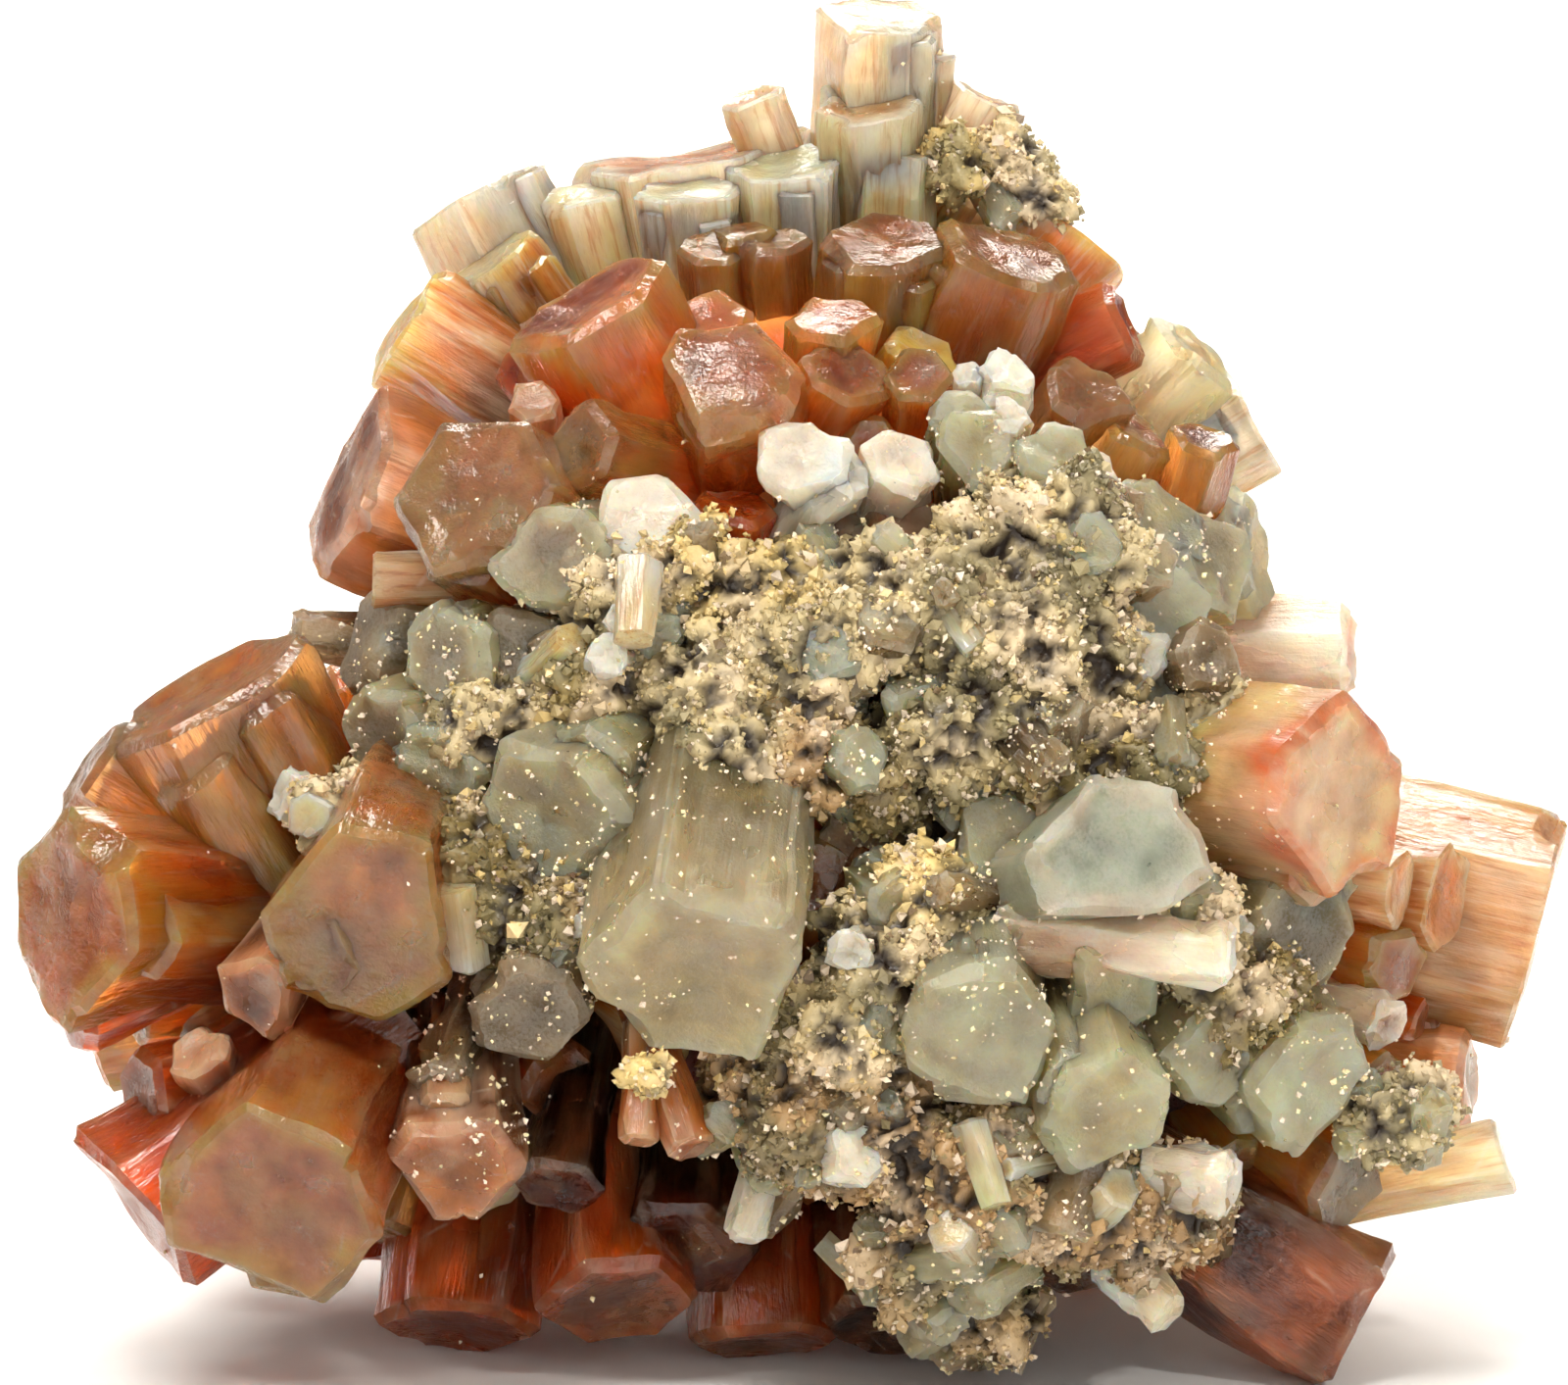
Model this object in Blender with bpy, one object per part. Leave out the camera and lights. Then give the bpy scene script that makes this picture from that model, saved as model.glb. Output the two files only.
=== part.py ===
"""Aragonite sputnik cluster: six-sided crystals that radiate from three nuclei and have grown together
into one mass, with granular crust filling the front and a few crystal ends to stand on.

Metres, +Z up, +X to the viewer's right, the viewer on the -Y side. The origin is the centre of the
footprint, on the surface that the cluster stands on.
"""
import math

import bmesh
import bpy
from mathutils import Matrix, Vector, noise

NODE_NAME = "aragonite_cluster"
MM = 0.001

# Crystals are placed as the viewer sees the cluster: u is to the right, v is up and d is towards the
# viewer, all in millimetres, from the point on the ground under the middle of the front view.
VIEW_ELEVATION = math.radians(10.0)
VIEW_DISTANCE = 420.0
VIEW_CENTRE_V = 19.5
FOOTPRINT_CENTRE_X = 0.35

# Crystal shape
SIDES = 6
ROOT_SCALE = 0.86
RIM_BEVEL = 0.28
SMALLEST_BEVELLED = 3.0

# The nuclei that the crystals radiate from, each a lump: u, v, d and three radii
NUCLEI = [
    ("upper", -0.5, 25.0, 1.0, 9.3, 7.6, 8.6),
    ("lower_left", -11.0, 11.5, 1.5, 8.0, 8.3, 7.2),
    ("lower_right", 10.0, 12.0, 1.5, 9.4, 9.0, 9.0),
    ("middle", 0.5, 14.0, 1.0, 8.6, 10.0, 10.2),
]

# Single crystals: name, end-face centre u, v, d, then the clock angle of the axis in the front view
# (0 right, 90 up), its lean towards the viewer, width across flats, length and roll about the axis
CRYSTALS = [
    # Top
    ("top_spire", 2.8, 40.2, 1.0, 88, 15, 4.1, 8.0, 0),
    ("spire_base", 2.7, 37.7, 2.4, 90, 30, 3.3, 6.0, 10),
    ("top_bud", -1.0, 37.8, 0.5, 110, 20, 1.8, 5.0, 0),
    ("spire_shoulder", 6.2, 37.8, 0.0, 62, 10, 2.6, 7.0, 0),
    ("spire_flank", 7.5, 35.6, 0.5, 50, 15, 2.4, 6.0, 20),
    ("crest", -3.1, 36.0, -1.0, 101, 8, 7.4, 10.0, 0),
    ("cream_left", -5.9, 34.8, 1.0, 105, 15, 2.7, 7.0, 0),
    ("cream_middle", -3.0, 34.9, 3.0, 95, 20, 3.0, 7.0, 15),
    ("cream_tall", 0.0, 35.7, 2.0, 92, 18, 3.4, 8.0, 0),
    ("cream_right", 3.2, 36.1, 2.0, 88, 15, 2.8, 8.0, 0),
    ("step_right", -0.3, 33.4, 5.0, 92, 25, 2.1, 6.0, 0),
    ("step_left", -2.2, 33.1, 5.0, 94, 25, 2.1, 6.0, 0),
    # Crown
    ("crown_rust_left", -5.9, 31.5, 8.0, 119, 22, 4.4, 8.0, 0),
    ("crown_orange", 3.1, 33.4, 6.0, 88, 25, 4.0, 8.0, 0),
    ("crown_rust_right", 6.7, 33.2, 5.0, 67, 17, 4.6, 9.0, 0),
    ("crown_back_cap", 8.9, 33.7, 0.0, 48, 2, 4.4, 9.0, 0),
    ("crown_corner", 10.6, 30.9, 3.0, 28, 10, 2.8, 8.0, 0),
    ("rose_hexagon", -1.6, 29.4, 12.0, 95, 68, 4.1, 8.0, 0),
    ("rose_slope", 1.5, 31.0, 9.0, 80, 35, 2.8, 7.0, 0),
    ("smoke_slope", 2.0, 29.5, 10.0, 60, 40, 2.6, 6.0, 0),
    ("rose_small", 4.2, 29.3, 10.0, 85, 45, 2.0, 6.0, 0),
    ("rose_facet", -7.7, 28.4, 8.5, 100, 50, 1.6, 5.0, 0),
    # Upper left
    ("cream_tablet", -9.7, 34.7, -1.0, 120, 4, 4.3, 11.0, 0),
    ("cream_fan", -9.0, 32.8, 2.0, 125, 10, 3.3, 9.0, 0),
    ("amber_fan", -11.8, 30.6, 3.0, 150, 6, 3.9, 9.0, 0),
    ("brown_lens", -13.5, 26.1, 6.0, 158, 17, 5.6, 10.0, 0),
    ("amber_block", -9.7, 25.5, 12.0, 150, 65, 4.8, 9.0, 0),
    ("grey_brown", -6.3, 27.0, 11.0, 165, 50, 2.9, 7.0, 0),
    ("sage_round", -7.1, 23.5, 13.5, 200, 75, 3.2, 7.0, 0),
    ("white_round", -4.3, 24.8, 13.0, 100, 65, 3.1, 7.0, 0),
    # Left waist
    ("waist_strip", -12.6, 23.0, 9.0, 180, 5, 1.6, 8.0, 0),
    ("waist_smoke", -12.9, 21.1, 8.0, 170, 20, 3.2, 8.0, 0),
    ("waist_grey", -15.0, 21.3, 5.5, 172, 10, 1.7, 7.0, 0),
    ("waist_oval", -10.5, 20.6, 12.0, 185, 65, 3.1, 7.0, 0),
    ("waist_dark", -8.2, 20.8, 12.0, 190, 65, 2.8, 7.0, 0),
    ("waist_grain", -12.4, 18.1, 11.0, 200, 50, 3.3, 8.0, 0),
    ("waist_pale", -10.8, 16.9, 12.5, 215, 60, 3.2, 7.0, 0),
    ("sage_left", -7.3, 16.0, 15.0, 215, 55, 4.7, 9.0, 0),
    ("sage_large", -2.6, 10.6, 18.0, 262, 48, 7.0, 11.0, 0),
    # Lower left
    ("amber_wide", -17.7, 19.7, 8.0, 120, 14, 7.0, 11.0, 0),
    ("amber_edge", -21.4, 17.2, 6.5, 150, 6, 3.6, 9.0, 0),
    ("amber_disc", -21.8, 12.5, 12.0, 182, 44, 5.7, 9.0, 0),
    ("amber_under", -22.0, 9.9, 8.0, 205, 15, 3.4, 9.0, 0),
    ("rose_disc", -12.9, 12.3, 16.0, 250, 60, 5.8, 9.0, 0),
    ("plum_small", -16.2, 10.1, 13.5, 235, 50, 2.6, 7.0, 0),
    ("smoke_speckled", -7.7, 9.6, 14.0, 260, 60, 3.4, 7.0, 0),
    ("rust_disc", -15.6, 3.2, 18.0, 265, 62, 5.8, 12.0, 0),
    ("rust_ledge", -19.8, 7.2, 11.0, 190, 30, 3.0, 9.0, 0),
    ("rust_glint", -18.1, 8.5, 12.5, 120, 50, 1.9, 5.0, 0),
    ("rust_corner", -19.7, 3.4, 11.0, 215, 8, 5.5, 10.0, 0),
    ("smoke_crumbed", -10.1, 4.9, 15.0, 270, 60, 3.8, 8.0, 0),
    ("pale_brown", -10.5, 7.3, 14.0, 250, 50, 1.6, 6.0, 0),
    # Bottom
    ("foot_rust_left", -10.1, -0.1, 4.6, 262, 20, 4.4, 9.0, 0),
    ("foot_rust_right", -5.3, 0.5, 8.0, 275, 35, 4.8, 9.0, 0),
    ("cave_floor", -7.0, 4.3, 10.0, 260, 40, 2.8, 7.0, 0),
    ("tooth_left", -4.5, 5.7, 14.0, 268, 15, 1.3, 5.0, 0),
    ("tooth_right", -2.8, 5.5, 14.0, 290, 15, 1.6, 5.0, 0),
    ("foot_dark", -3.0, 2.3, 8.0, 270, 40, 4.0, 8.0, 0),
    ("foot_front", -0.7, -0.45, 5.4, 272, 20, 3.9, 8.0, 0),
    ("lilac_shard", -1.3, 2.8, 12.0, 255, 15, 1.3, 5.0, 0),
    ("foot_brown", 3.1, 0.1, 6.5, 275, 25, 3.8, 8.0, 0),
    ("dark_band", 8.8, 2.2, 8.0, 285, 40, 3.6, 8.0, 0),
    ("brown_slab", 17.5, 0.2, 6.4, 327, 5, 5.2, 11.0, 0),
    ("striped_base", 12.8, 4.2, 12.0, 330, 25, 2.4, 7.0, 0),
    ("yellow_base", 17.3, 4.2, 8.0, 325, 35, 3.2, 8.0, 0),
    # Right
    ("amber_end", 17.1, 16.2, 14.0, 350, 45, 5.6, 9.0, 0),
    ("cream_horn", 12.3, 18.0, 12.0, 165, 30, 1.2, 4.0, 0),
    ("peach_tablet", 22.9, 12.1, 2.0, 346, 4, 6.9, 12.0, 0),
    ("embedded_face", 20.3, 13.2, 6.5, 350, 30, 2.9, 8.0, 0),
    ("striated_small", 18.9, 13.4, 8.5, 350, 20, 2.2, 7.0, 0),
    ("grey_brown_end", 21.1, 7.6, 2.0, 352, 5, 3.8, 9.0, 0),
    ("white_finger", 22.1, 5.4, 5.0, 12, 5, 2.4, 10.0, 0),
    ("aqua_hexagon", 10.3, 14.8, 17.0, 20, 70, 5.0, 9.0, 0),
    ("sage_shadow", 6.7, 15.1, 14.0, 60, 70, 3.0, 7.0, 0),
    ("white_prism", 13.7, 11.4, 15.5, 355, 10, 1.8, 7.0, 0),
    ("waist_right", 17.4, 20.8, 3.0, 0, 4, 2.9, 9.0, 0),
    ("green_tip", 6.1, 8.8, 17.0, 280, 65, 4.5, 9.0, 0),
    ("sage_speckled", 9.8, 6.5, 16.0, 285, 55, 4.0, 9.0, 0),
    ("sage_crumbed", 13.2, 8.2, 13.5, 320, 60, 3.2, 8.0, 0),
    ("sage_wide", 16.0, 7.4, 12.5, 320, 55, 4.4, 9.0, 0),
    ("olive_right", 15.9, 12.1, 11.5, 330, 50, 4.2, 9.0, 0),
    ("clear_window", 13.0, 20.6, 12.0, 20, 60, 2.2, 6.0, 0),
    ("sage_mass", 11.3, 22.2, 11.0, 35, 50, 4.0, 8.0, 0),
    ("sage_edge", 14.5, 23.9, 3.5, 10, 10, 4.6, 9.0, 0),
    ("sage_mid", 13.3, 23.6, 8.0, 20, 30, 3.6, 8.0, 0),
    ("sage_upper", 11.6, 25.1, 9.0, 45, 40, 3.0, 7.0, 0),
    ("sage_lower", 11.0, 19.7, 12.0, 350, 60, 3.2, 7.0, 0),
    ("lilac_bit", 18.6, 9.4, 9.5, 340, 40, 1.6, 6.0, 0),
    # Upper right
    ("orange_rim", 10.8, 27.5, 7.0, 60, 20, 2.4, 7.0, 0),
    ("orange_cap", 12.8, 27.4, 6.5, 75, 25, 2.3, 7.0, 0),
    ("cream_shoulder", 14.4, 27.7, 0.0, 32, 3, 3.6, 9.0, 0),
    ("sage_shoulder", 12.7, 30.0, 2.0, 45, 10, 3.2, 8.0, 0),
    ("orange_facet", 9.3, 28.9, 7.5, 60, 45, 2.6, 6.0, 0),
    # White and sage ends under the crown
    ("white_hexagon", 0.6, 26.8, 13.2, 110, 70, 2.7, 6.0, 0),
    ("white_sliver", 2.1, 26.3, 12.6, 45, 35, 1.8, 5.0, 0),
    ("white_broken", 3.5, 26.7, 12.2, 70, 60, 2.4, 6.0, 0),
    ("white_bit_right", 6.9, 29.4, 9.2, 80, 40, 1.6, 5.0, 0),
    ("white_bit_left", 5.6, 29.3, 9.2, 95, 50, 1.0, 4.0, 0),
    ("white_bit_low", 6.9, 27.9, 11.5, 85, 65, 1.2, 4.0, 0),
    ("sage_hexagon", 8.4, 26.9, 12.0, 70, 60, 2.7, 6.0, 0),
    ("sage_pair", 6.0, 27.0, 12.0, 90, 65, 2.6, 6.0, 0),
    ("sage_back", 5.5, 28.2, 10.8, 95, 50, 2.0, 6.0, 0),
    # Ends showing in the crust
    ("rose_sunk", 1.4, 24.4, 11.2, 90, 30, 3.2, 6.0, 0),
    ("lilac_sunk", 3.9, 24.8, 11.2, 70, 50, 2.4, 5.0, 0),
    ("cream_sunk", 9.4, 23.8, 12.2, 60, 50, 2.0, 5.0, 0),
    ("sage_sunk", 4.8, 20.6, 13.0, 90, 80, 2.2, 5.0, 0),
    ("sage_sunk_low", 1.4, 19.2, 13.0, 80, 80, 2.0, 5.0, 0),
    ("lilac_low", 2.1, 14.8, 12.5, 200, 60, 2.6, 6.0, 0),
    ("brown_low", 3.0, 13.2, 12.5, 270, 60, 2.4, 6.0, 0),
    ("sage_front", 10.2, 10.4, 15.0, 300, 60, 3.2, 7.0, 0),
    ("sage_front_left", 7.8, 11.9, 15.0, 300, 70, 2.6, 6.0, 0),
    ("white_knob", -0.4, 6.1, 14.0, 280, 60, 1.5, 5.0, 0),
]

# Crystals of the hidden sides, fanned out from a nucleus: clock angle, lean, across flats, reach and roll
BACK_FANS = {
    "upper": [
        (22, -18, 4.2, 12.8, 0), (52, -20, 3.8, 11.6, 20), (80, -16, 4.0, 11.8, 5),
        (112, -22, 3.6, 10.4, 30), (140, -18, 4.4, 11.6, 0), (166, -20, 4.8, 12.4, 12),
        (5, -45, 5.0, 13.2, 0), (42, -48, 4.4, 12.8, 25), (76, -44, 5.2, 12.6, 10),
        (112, -46, 4.2, 12.4, 40), (146, -44, 4.8, 13.2, 5), (178, -47, 4.4, 13.0, 18),
        (20, -70, 4.6, 14.0, 0), (85, -72, 5.4, 14.4, 15), (150, -70, 4.8, 14.2, 30),
        (235, -78, 4.4, 13.6, 8),
    ],
    "lower_left": [
        (104, -20, 3.6, 9.4, 0), (134, -22, 4.0, 10.2, 15), (162, -18, 4.4, 10.8, 0),
        (192, -22, 4.6, 10.9, 25), (220, -18, 4.2, 10.4, 5), (250, -24, 4.4, 9.8, 0),
        (110, -52, 4.8, 11.4, 10), (158, -50, 5.2, 12.2, 0), (205, -52, 4.8, 12.0, 20),
        (250, -50, 4.4, 10.6, 0), (170, -80, 5.4, 12.8, 12), (300, -66, 4.6, 11.8, 0),
    ],
    "lower_right": [
        (62, -18, 3.8, 8.8, 0), (30, -22, 4.4, 10.2, 12), (358, -20, 4.8, 11.6, 0),
        (330, -20, 4.4, 10.8, 20), (300, -24, 4.2, 9.2, 0), (60, -50, 5.0, 11.6, 5),
        (14, -50, 5.2, 12.8, 15), (330, -52, 4.8, 12.2, 0), (288, -50, 4.4, 10.6, 25),
        (0, -80, 5.6, 13.4, 0), (240, -68, 4.6, 12.2, 10),
    ],
    "middle": [
        (90, -62, 4.6, 13.0, 0), (270, -80, 5.0, 13.8, 15), (262, -46, 4.8, 13.2, 0),
        (282, -28, 4.4, 13.0, 20),
    ],
}
BACK_ROOT = 2.0

# Crystals that it stands on: name, ground position x and y, across flats, tilt direction and tilt
FEET = [
    ("rest_foot", 0.5, 2.0, 4.6, 0, 0),
    ("foot_back_left", -8.5, 7.5, 3.8, 130, 20),
    ("foot_back_right", 10.0, 8.0, 4.0, 40, 22),
    ("foot_back", 1.0, 10.5, 4.0, 95, 24),
]
FOOT_LENGTH = 9.0
FOOT_SINK = 0.25

# Granular crust, as lumps: u, v, d and radius
CRUST = [
    (-0.2, 23.3, 12.2, 1.7), (-2.5, 23.2, 12.4, 1.6), (2.1, 23.1, 12.2, 1.6), (-4.7, 22.2, 12.4, 1.8),
    (-2.4, 19.2, 12.6, 2.3), (-5.4, 20.0, 12.4, 1.8), (0.2, 20.4, 12.6, 2.0), (3.0, 22.2, 12.6, 2.0),
    (6.0, 22.0, 12.4, 2.5), (8.4, 24.2, 11.6, 2.4), (8.4, 20.6, 12.0, 2.4), (8.2, 17.6, 12.4, 2.3),
    (5.5, 18.2, 12.8, 2.1), (2.8, 17.2, 12.4, 1.8), (10.8, 17.2, 12.4, 1.8), (12.8, 17.6, 10.6, 2.0),
    (4.2, 12.9, 14.2, 1.7), (3.0, 11.3, 14.6, 1.9), (5.4, 10.9, 14.8, 1.6), (1.9, 9.3, 14.4, 1.8),
    (-7.6, 13.2, 12.4, 2.2), (-9.8, 14.6, 11.6, 2.1), (-5.8, 13.3, 13.4, 1.7), (-12.6, 15.6, 11.0, 1.8),
    (0.4, 7.2, 13.0, 2.3), (3.0, 6.2, 13.0, 2.4), (5.6, 5.0, 13.0, 2.3), (8.6, 4.2, 12.4, 2.2),
    (11.2, 3.8, 11.6, 2.0), (4.6, 2.8, 11.6, 2.2), (5.9, 0.6, 10.2, 1.5), (6.9, 35.8, 0.6, 1.5),
    (13.6, 10.0, 12.0, 2.0), (11.8, 12.0, 13.0, 2.0), (18.6, 6.6, 10.2, 2.0), (-8.6, 18.4, 12.0, 1.6),
]
CRUST_ROUGHNESS = 0.22

REST_CUT_DEPTH = 6.0
REST_CUT_WIDTH = 80.0

CRYSTAL_COLOUR = (0.60, 0.30, 0.14, 1.0)
CRYSTAL_ROUGHNESS = 0.35


def clear_scene():
    """Removes what is already in the scene."""
    for item in list(bpy.data.objects):
        bpy.data.objects.remove(item, do_unlink=True)


def view_point(u, v, d):
    """World position, in millimetres, of a point seen at u, v in the front view, d towards the viewer."""
    shrink = 1.0 - d / VIEW_DISTANCE
    right = u * shrink
    up = VIEW_CENTRE_V + (v - VIEW_CENTRE_V) * shrink
    y = up * math.sin(VIEW_ELEVATION) - d * math.cos(VIEW_ELEVATION)
    z = up * math.cos(VIEW_ELEVATION) + d * math.sin(VIEW_ELEVATION)
    return Vector((right - FOOTPRINT_CENTRE_X, y, z))


def view_direction(clock, lean):
    """World unit vector for a clock angle in the front view and a lean towards the viewer, in degrees."""
    turn = math.radians(clock)
    tilt = math.radians(lean)
    right = math.cos(turn) * math.cos(tilt)
    up = math.sin(turn) * math.cos(tilt)
    toward = math.sin(tilt)
    y = up * math.sin(VIEW_ELEVATION) - toward * math.cos(VIEW_ELEVATION)
    z = up * math.cos(VIEW_ELEVATION) + toward * math.sin(VIEW_ELEVATION)
    return Vector((right, y, z))


def axis_matrix(axis, clock):
    """Rotation that takes local Z to the axis and keeps local X in the plane of the front view."""
    side = view_direction(clock - 90.0, 0.0)
    side = (side - axis * side.dot(axis)).normalized()
    return Matrix((side, axis.cross(side), axis)).transposed()


def new_object(name, bm):
    """Makes a linked object in metres from a bmesh in millimetres, and frees the bmesh."""
    bmesh.ops.scale(bm, vec=(MM, MM, MM), verts=bm.verts)
    bmesh.ops.recalc_face_normals(bm, faces=bm.faces)
    mesh = bpy.data.meshes.new(name)
    bm.to_mesh(mesh)
    bm.free()
    made = bpy.data.objects.new(name, mesh)
    bpy.context.scene.collection.objects.link(made)
    return made


def prism(name, face_centre, rotation, across, length, roll, bevel=0.0):
    """A six-sided crystal whose outer end face is at face_centre, narrowing a little to its root."""
    bm = bmesh.new()
    corner = across / math.sqrt(3.0)
    rings = [(-length, corner * ROOT_SCALE)]
    if bevel:
        rings.append((-bevel, corner))
    rings.append((0.0, corner - bevel))
    loops = []
    for height, radius in rings:
        loop = []
        for side in range(SIDES):
            angle = math.radians(roll) + side * math.tau / SIDES
            loop.append(bm.verts.new((radius * math.cos(angle), radius * math.sin(angle), height)))
        loops.append(loop)
    bm.faces.new(list(reversed(loops[0])))
    bm.faces.new(loops[-1])
    for lower, upper in zip(loops, loops[1:]):
        for side in range(SIDES):
            after = (side + 1) % SIDES
            bm.faces.new((lower[side], lower[after], upper[after], upper[side]))
    bmesh.ops.transform(bm, matrix=Matrix.Translation(face_centre) @ rotation.to_4x4(), verts=bm.verts)
    return new_object(name, bm)


def front_crystal(row):
    """A crystal from its row in CRYSTALS."""
    name, u, v, d, clock, lean, across, length, roll = row
    axis = view_direction(clock, lean)
    bevel = RIM_BEVEL if across >= SMALLEST_BEVELLED else 0.0
    return prism(name, view_point(u, v, d), axis_matrix(axis, clock), across, length, roll, bevel)


def back_crystals():
    """The crystals of the hidden sides, each reaching out from the middle of its nucleus."""
    made = []
    centres = {name: view_point(u, v, d) for name, u, v, d, *radii in NUCLEI}
    for nucleus, fan in BACK_FANS.items():
        for number, (clock, lean, across, reach, roll) in enumerate(fan):
            axis = view_direction(clock, lean)
            tip = centres[nucleus] + axis * reach
            rotation = axis_matrix(axis, clock)
            name = f"{nucleus}_back_{number}"
            made.append(prism(name, tip, rotation, across, reach - BACK_ROOT, roll, RIM_BEVEL))
    return made


def foot_crystals():
    """The crystals that it stands on, pointing down and reaching just below the ground."""
    made = []
    for name, x, y, across, direction, tilt in FEET:
        turn = math.radians(direction)
        lean = math.radians(tilt)
        axis = Vector((math.cos(turn) * math.sin(lean), math.sin(turn) * math.sin(lean), -math.cos(lean)))
        rotation = axis.to_track_quat("Z", "X").to_matrix()
        made.append(prism(name, Vector((x, y, -FOOT_SINK)), rotation, across, FOOT_LENGTH, 0.0))
    return made


def lump(name, centre, radii, subdivisions, roughness):
    """An uneven ellipsoid for a nucleus or a piece of crust."""
    bm = bmesh.new()
    bmesh.ops.create_icosphere(bm, subdivisions=subdivisions, radius=1.0)
    for vert in bm.verts:
        seed = centre + vert.co * 3.0
        swell = 1.0 + roughness * noise.noise(seed)
        vert.co = Vector((vert.co.x * radii[0], vert.co.y * radii[1], vert.co.z * radii[2])) * swell
    bmesh.ops.translate(bm, vec=centre, verts=bm.verts)
    return new_object(name, bm)


def nuclei():
    """The rough middle of each spray of crystals."""
    made = []
    for name, u, v, d, wide, high, deep in NUCLEI:
        made.append(lump(f"nucleus_{name}", view_point(u, v, d), (wide, deep, high), 2, 0.08))
    return made


def crust_lumps():
    """The larger grains of the crust that fills the front."""
    made = []
    for number, (u, v, d, radius) in enumerate(CRUST):
        flat = (radius * 1.1, radius, radius * 0.95)
        made.append(lump(f"crust_{number}", view_point(u, v, d), flat, 1, CRUST_ROUGHNESS))
    return made


def ground_cutter():
    """A block under the ground plane, which trims the feet flat."""
    bm = bmesh.new()
    bmesh.ops.create_cube(bm, size=1.0)
    bmesh.ops.scale(bm, vec=(REST_CUT_WIDTH, REST_CUT_WIDTH, REST_CUT_DEPTH), verts=bm.verts)
    bmesh.ops.translate(bm, vec=(0.0, 0.0, -REST_CUT_DEPTH / 2.0), verts=bm.verts)
    return new_object("ground_cutter", bm)


def evaluated_mesh(item):
    """A copy of an object's mesh with its modifiers applied."""
    depsgraph = bpy.context.evaluated_depsgraph_get()
    return bpy.data.meshes.new_from_object(item.evaluated_get(depsgraph))


def grow_together(body, pieces):
    """Joins the pieces to the body in one solid."""
    group = bpy.data.collections.new("pieces")
    for piece in pieces:
        group.objects.link(piece)
    union = body.modifiers.new("grow_together", "BOOLEAN")
    union.operation = "UNION"
    union.operand_type = "COLLECTION"
    union.collection = group
    union.solver = "EXACT"
    joined = evaluated_mesh(body)
    body.modifiers.clear()
    body.data = joined
    for piece in pieces:
        bpy.data.objects.remove(piece, do_unlink=True)
    bpy.data.collections.remove(group)


def cut(body, cutter):
    """Takes the cutter's space out of the body."""
    difference = body.modifiers.new("cut", "BOOLEAN")
    difference.operation = "DIFFERENCE"
    difference.object = cutter
    difference.solver = "EXACT"
    trimmed = evaluated_mesh(body)
    body.modifiers.clear()
    body.data = trimmed
    bpy.data.objects.remove(cutter, do_unlink=True)


def island_of(start):
    """The faces joined to a face."""
    found = {start}
    waiting = [start]
    while waiting:
        face = waiting.pop()
        for edge in face.edges:
            for other in edge.link_faces:
                if other not in found:
                    found.add(other)
                    waiting.append(other)
    return found


def keep_outer_skin(body):
    """Fills the pockets sealed between crystals, keeping only the skin around the whole mass."""
    bm = bmesh.new()
    bm.from_mesh(body.data)
    left = set(bm.faces)
    largest = set()
    while left:
        island = island_of(next(iter(left)))
        left -= island
        if len(island) > len(largest):
            largest = island
    inner = [face for face in bm.faces if face not in largest]
    bmesh.ops.delete(bm, geom=inner, context="FACES")
    bmesh.ops.triangulate(bm, faces=bm.faces)
    bm.to_mesh(body.data)
    bm.free()


def crystal_material():
    """Plain amber-brown aragonite."""
    material = bpy.data.materials.new("aragonite")
    material.use_nodes = True
    shader = material.node_tree.nodes["Principled BSDF"]
    shader.inputs["Base Color"].default_value = CRYSTAL_COLOUR
    shader.inputs["Roughness"].default_value = CRYSTAL_ROUGHNESS
    shader.inputs["Metallic"].default_value = 0.0
    return material


def build():
    """Builds the cluster as one solid."""
    clear_scene()
    pieces = nuclei()
    body = pieces.pop()
    pieces += [front_crystal(row) for row in CRYSTALS]
    pieces += back_crystals()
    pieces += foot_crystals()
    pieces += crust_lumps()
    grow_together(body, pieces)
    cut(body, ground_cutter())
    keep_outer_skin(body)
    body.name = NODE_NAME
    body.data.name = NODE_NAME
    body.data.materials.clear()
    body.data.materials.append(crystal_material())


build()
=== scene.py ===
"""Looks of the aragonite sputnik cluster.

The crystals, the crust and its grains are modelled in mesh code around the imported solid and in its
frame: metres, +Z up, the viewer on the -Y side. Every crystal has its own facets, grooves, chips and
colours, and the pieces are grouped by the kind of crystal.
"""
import math
from typing import NamedTuple

import bmesh
import bpy
import numpy as np
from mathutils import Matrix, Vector, noise


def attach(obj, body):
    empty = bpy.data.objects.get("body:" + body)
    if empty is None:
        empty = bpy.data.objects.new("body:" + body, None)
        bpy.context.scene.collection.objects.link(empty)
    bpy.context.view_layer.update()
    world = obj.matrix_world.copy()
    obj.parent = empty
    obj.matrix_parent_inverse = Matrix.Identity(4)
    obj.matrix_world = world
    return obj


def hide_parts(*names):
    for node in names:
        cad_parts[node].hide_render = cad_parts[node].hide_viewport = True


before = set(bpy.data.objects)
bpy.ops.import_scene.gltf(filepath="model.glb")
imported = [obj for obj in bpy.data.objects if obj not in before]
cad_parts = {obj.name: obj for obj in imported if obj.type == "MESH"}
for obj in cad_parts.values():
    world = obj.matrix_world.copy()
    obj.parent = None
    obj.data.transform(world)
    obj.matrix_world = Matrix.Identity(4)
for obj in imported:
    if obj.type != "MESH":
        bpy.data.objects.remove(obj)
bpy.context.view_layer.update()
NODE_NAME = "aragonite_cluster"
MM = 0.001

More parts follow.
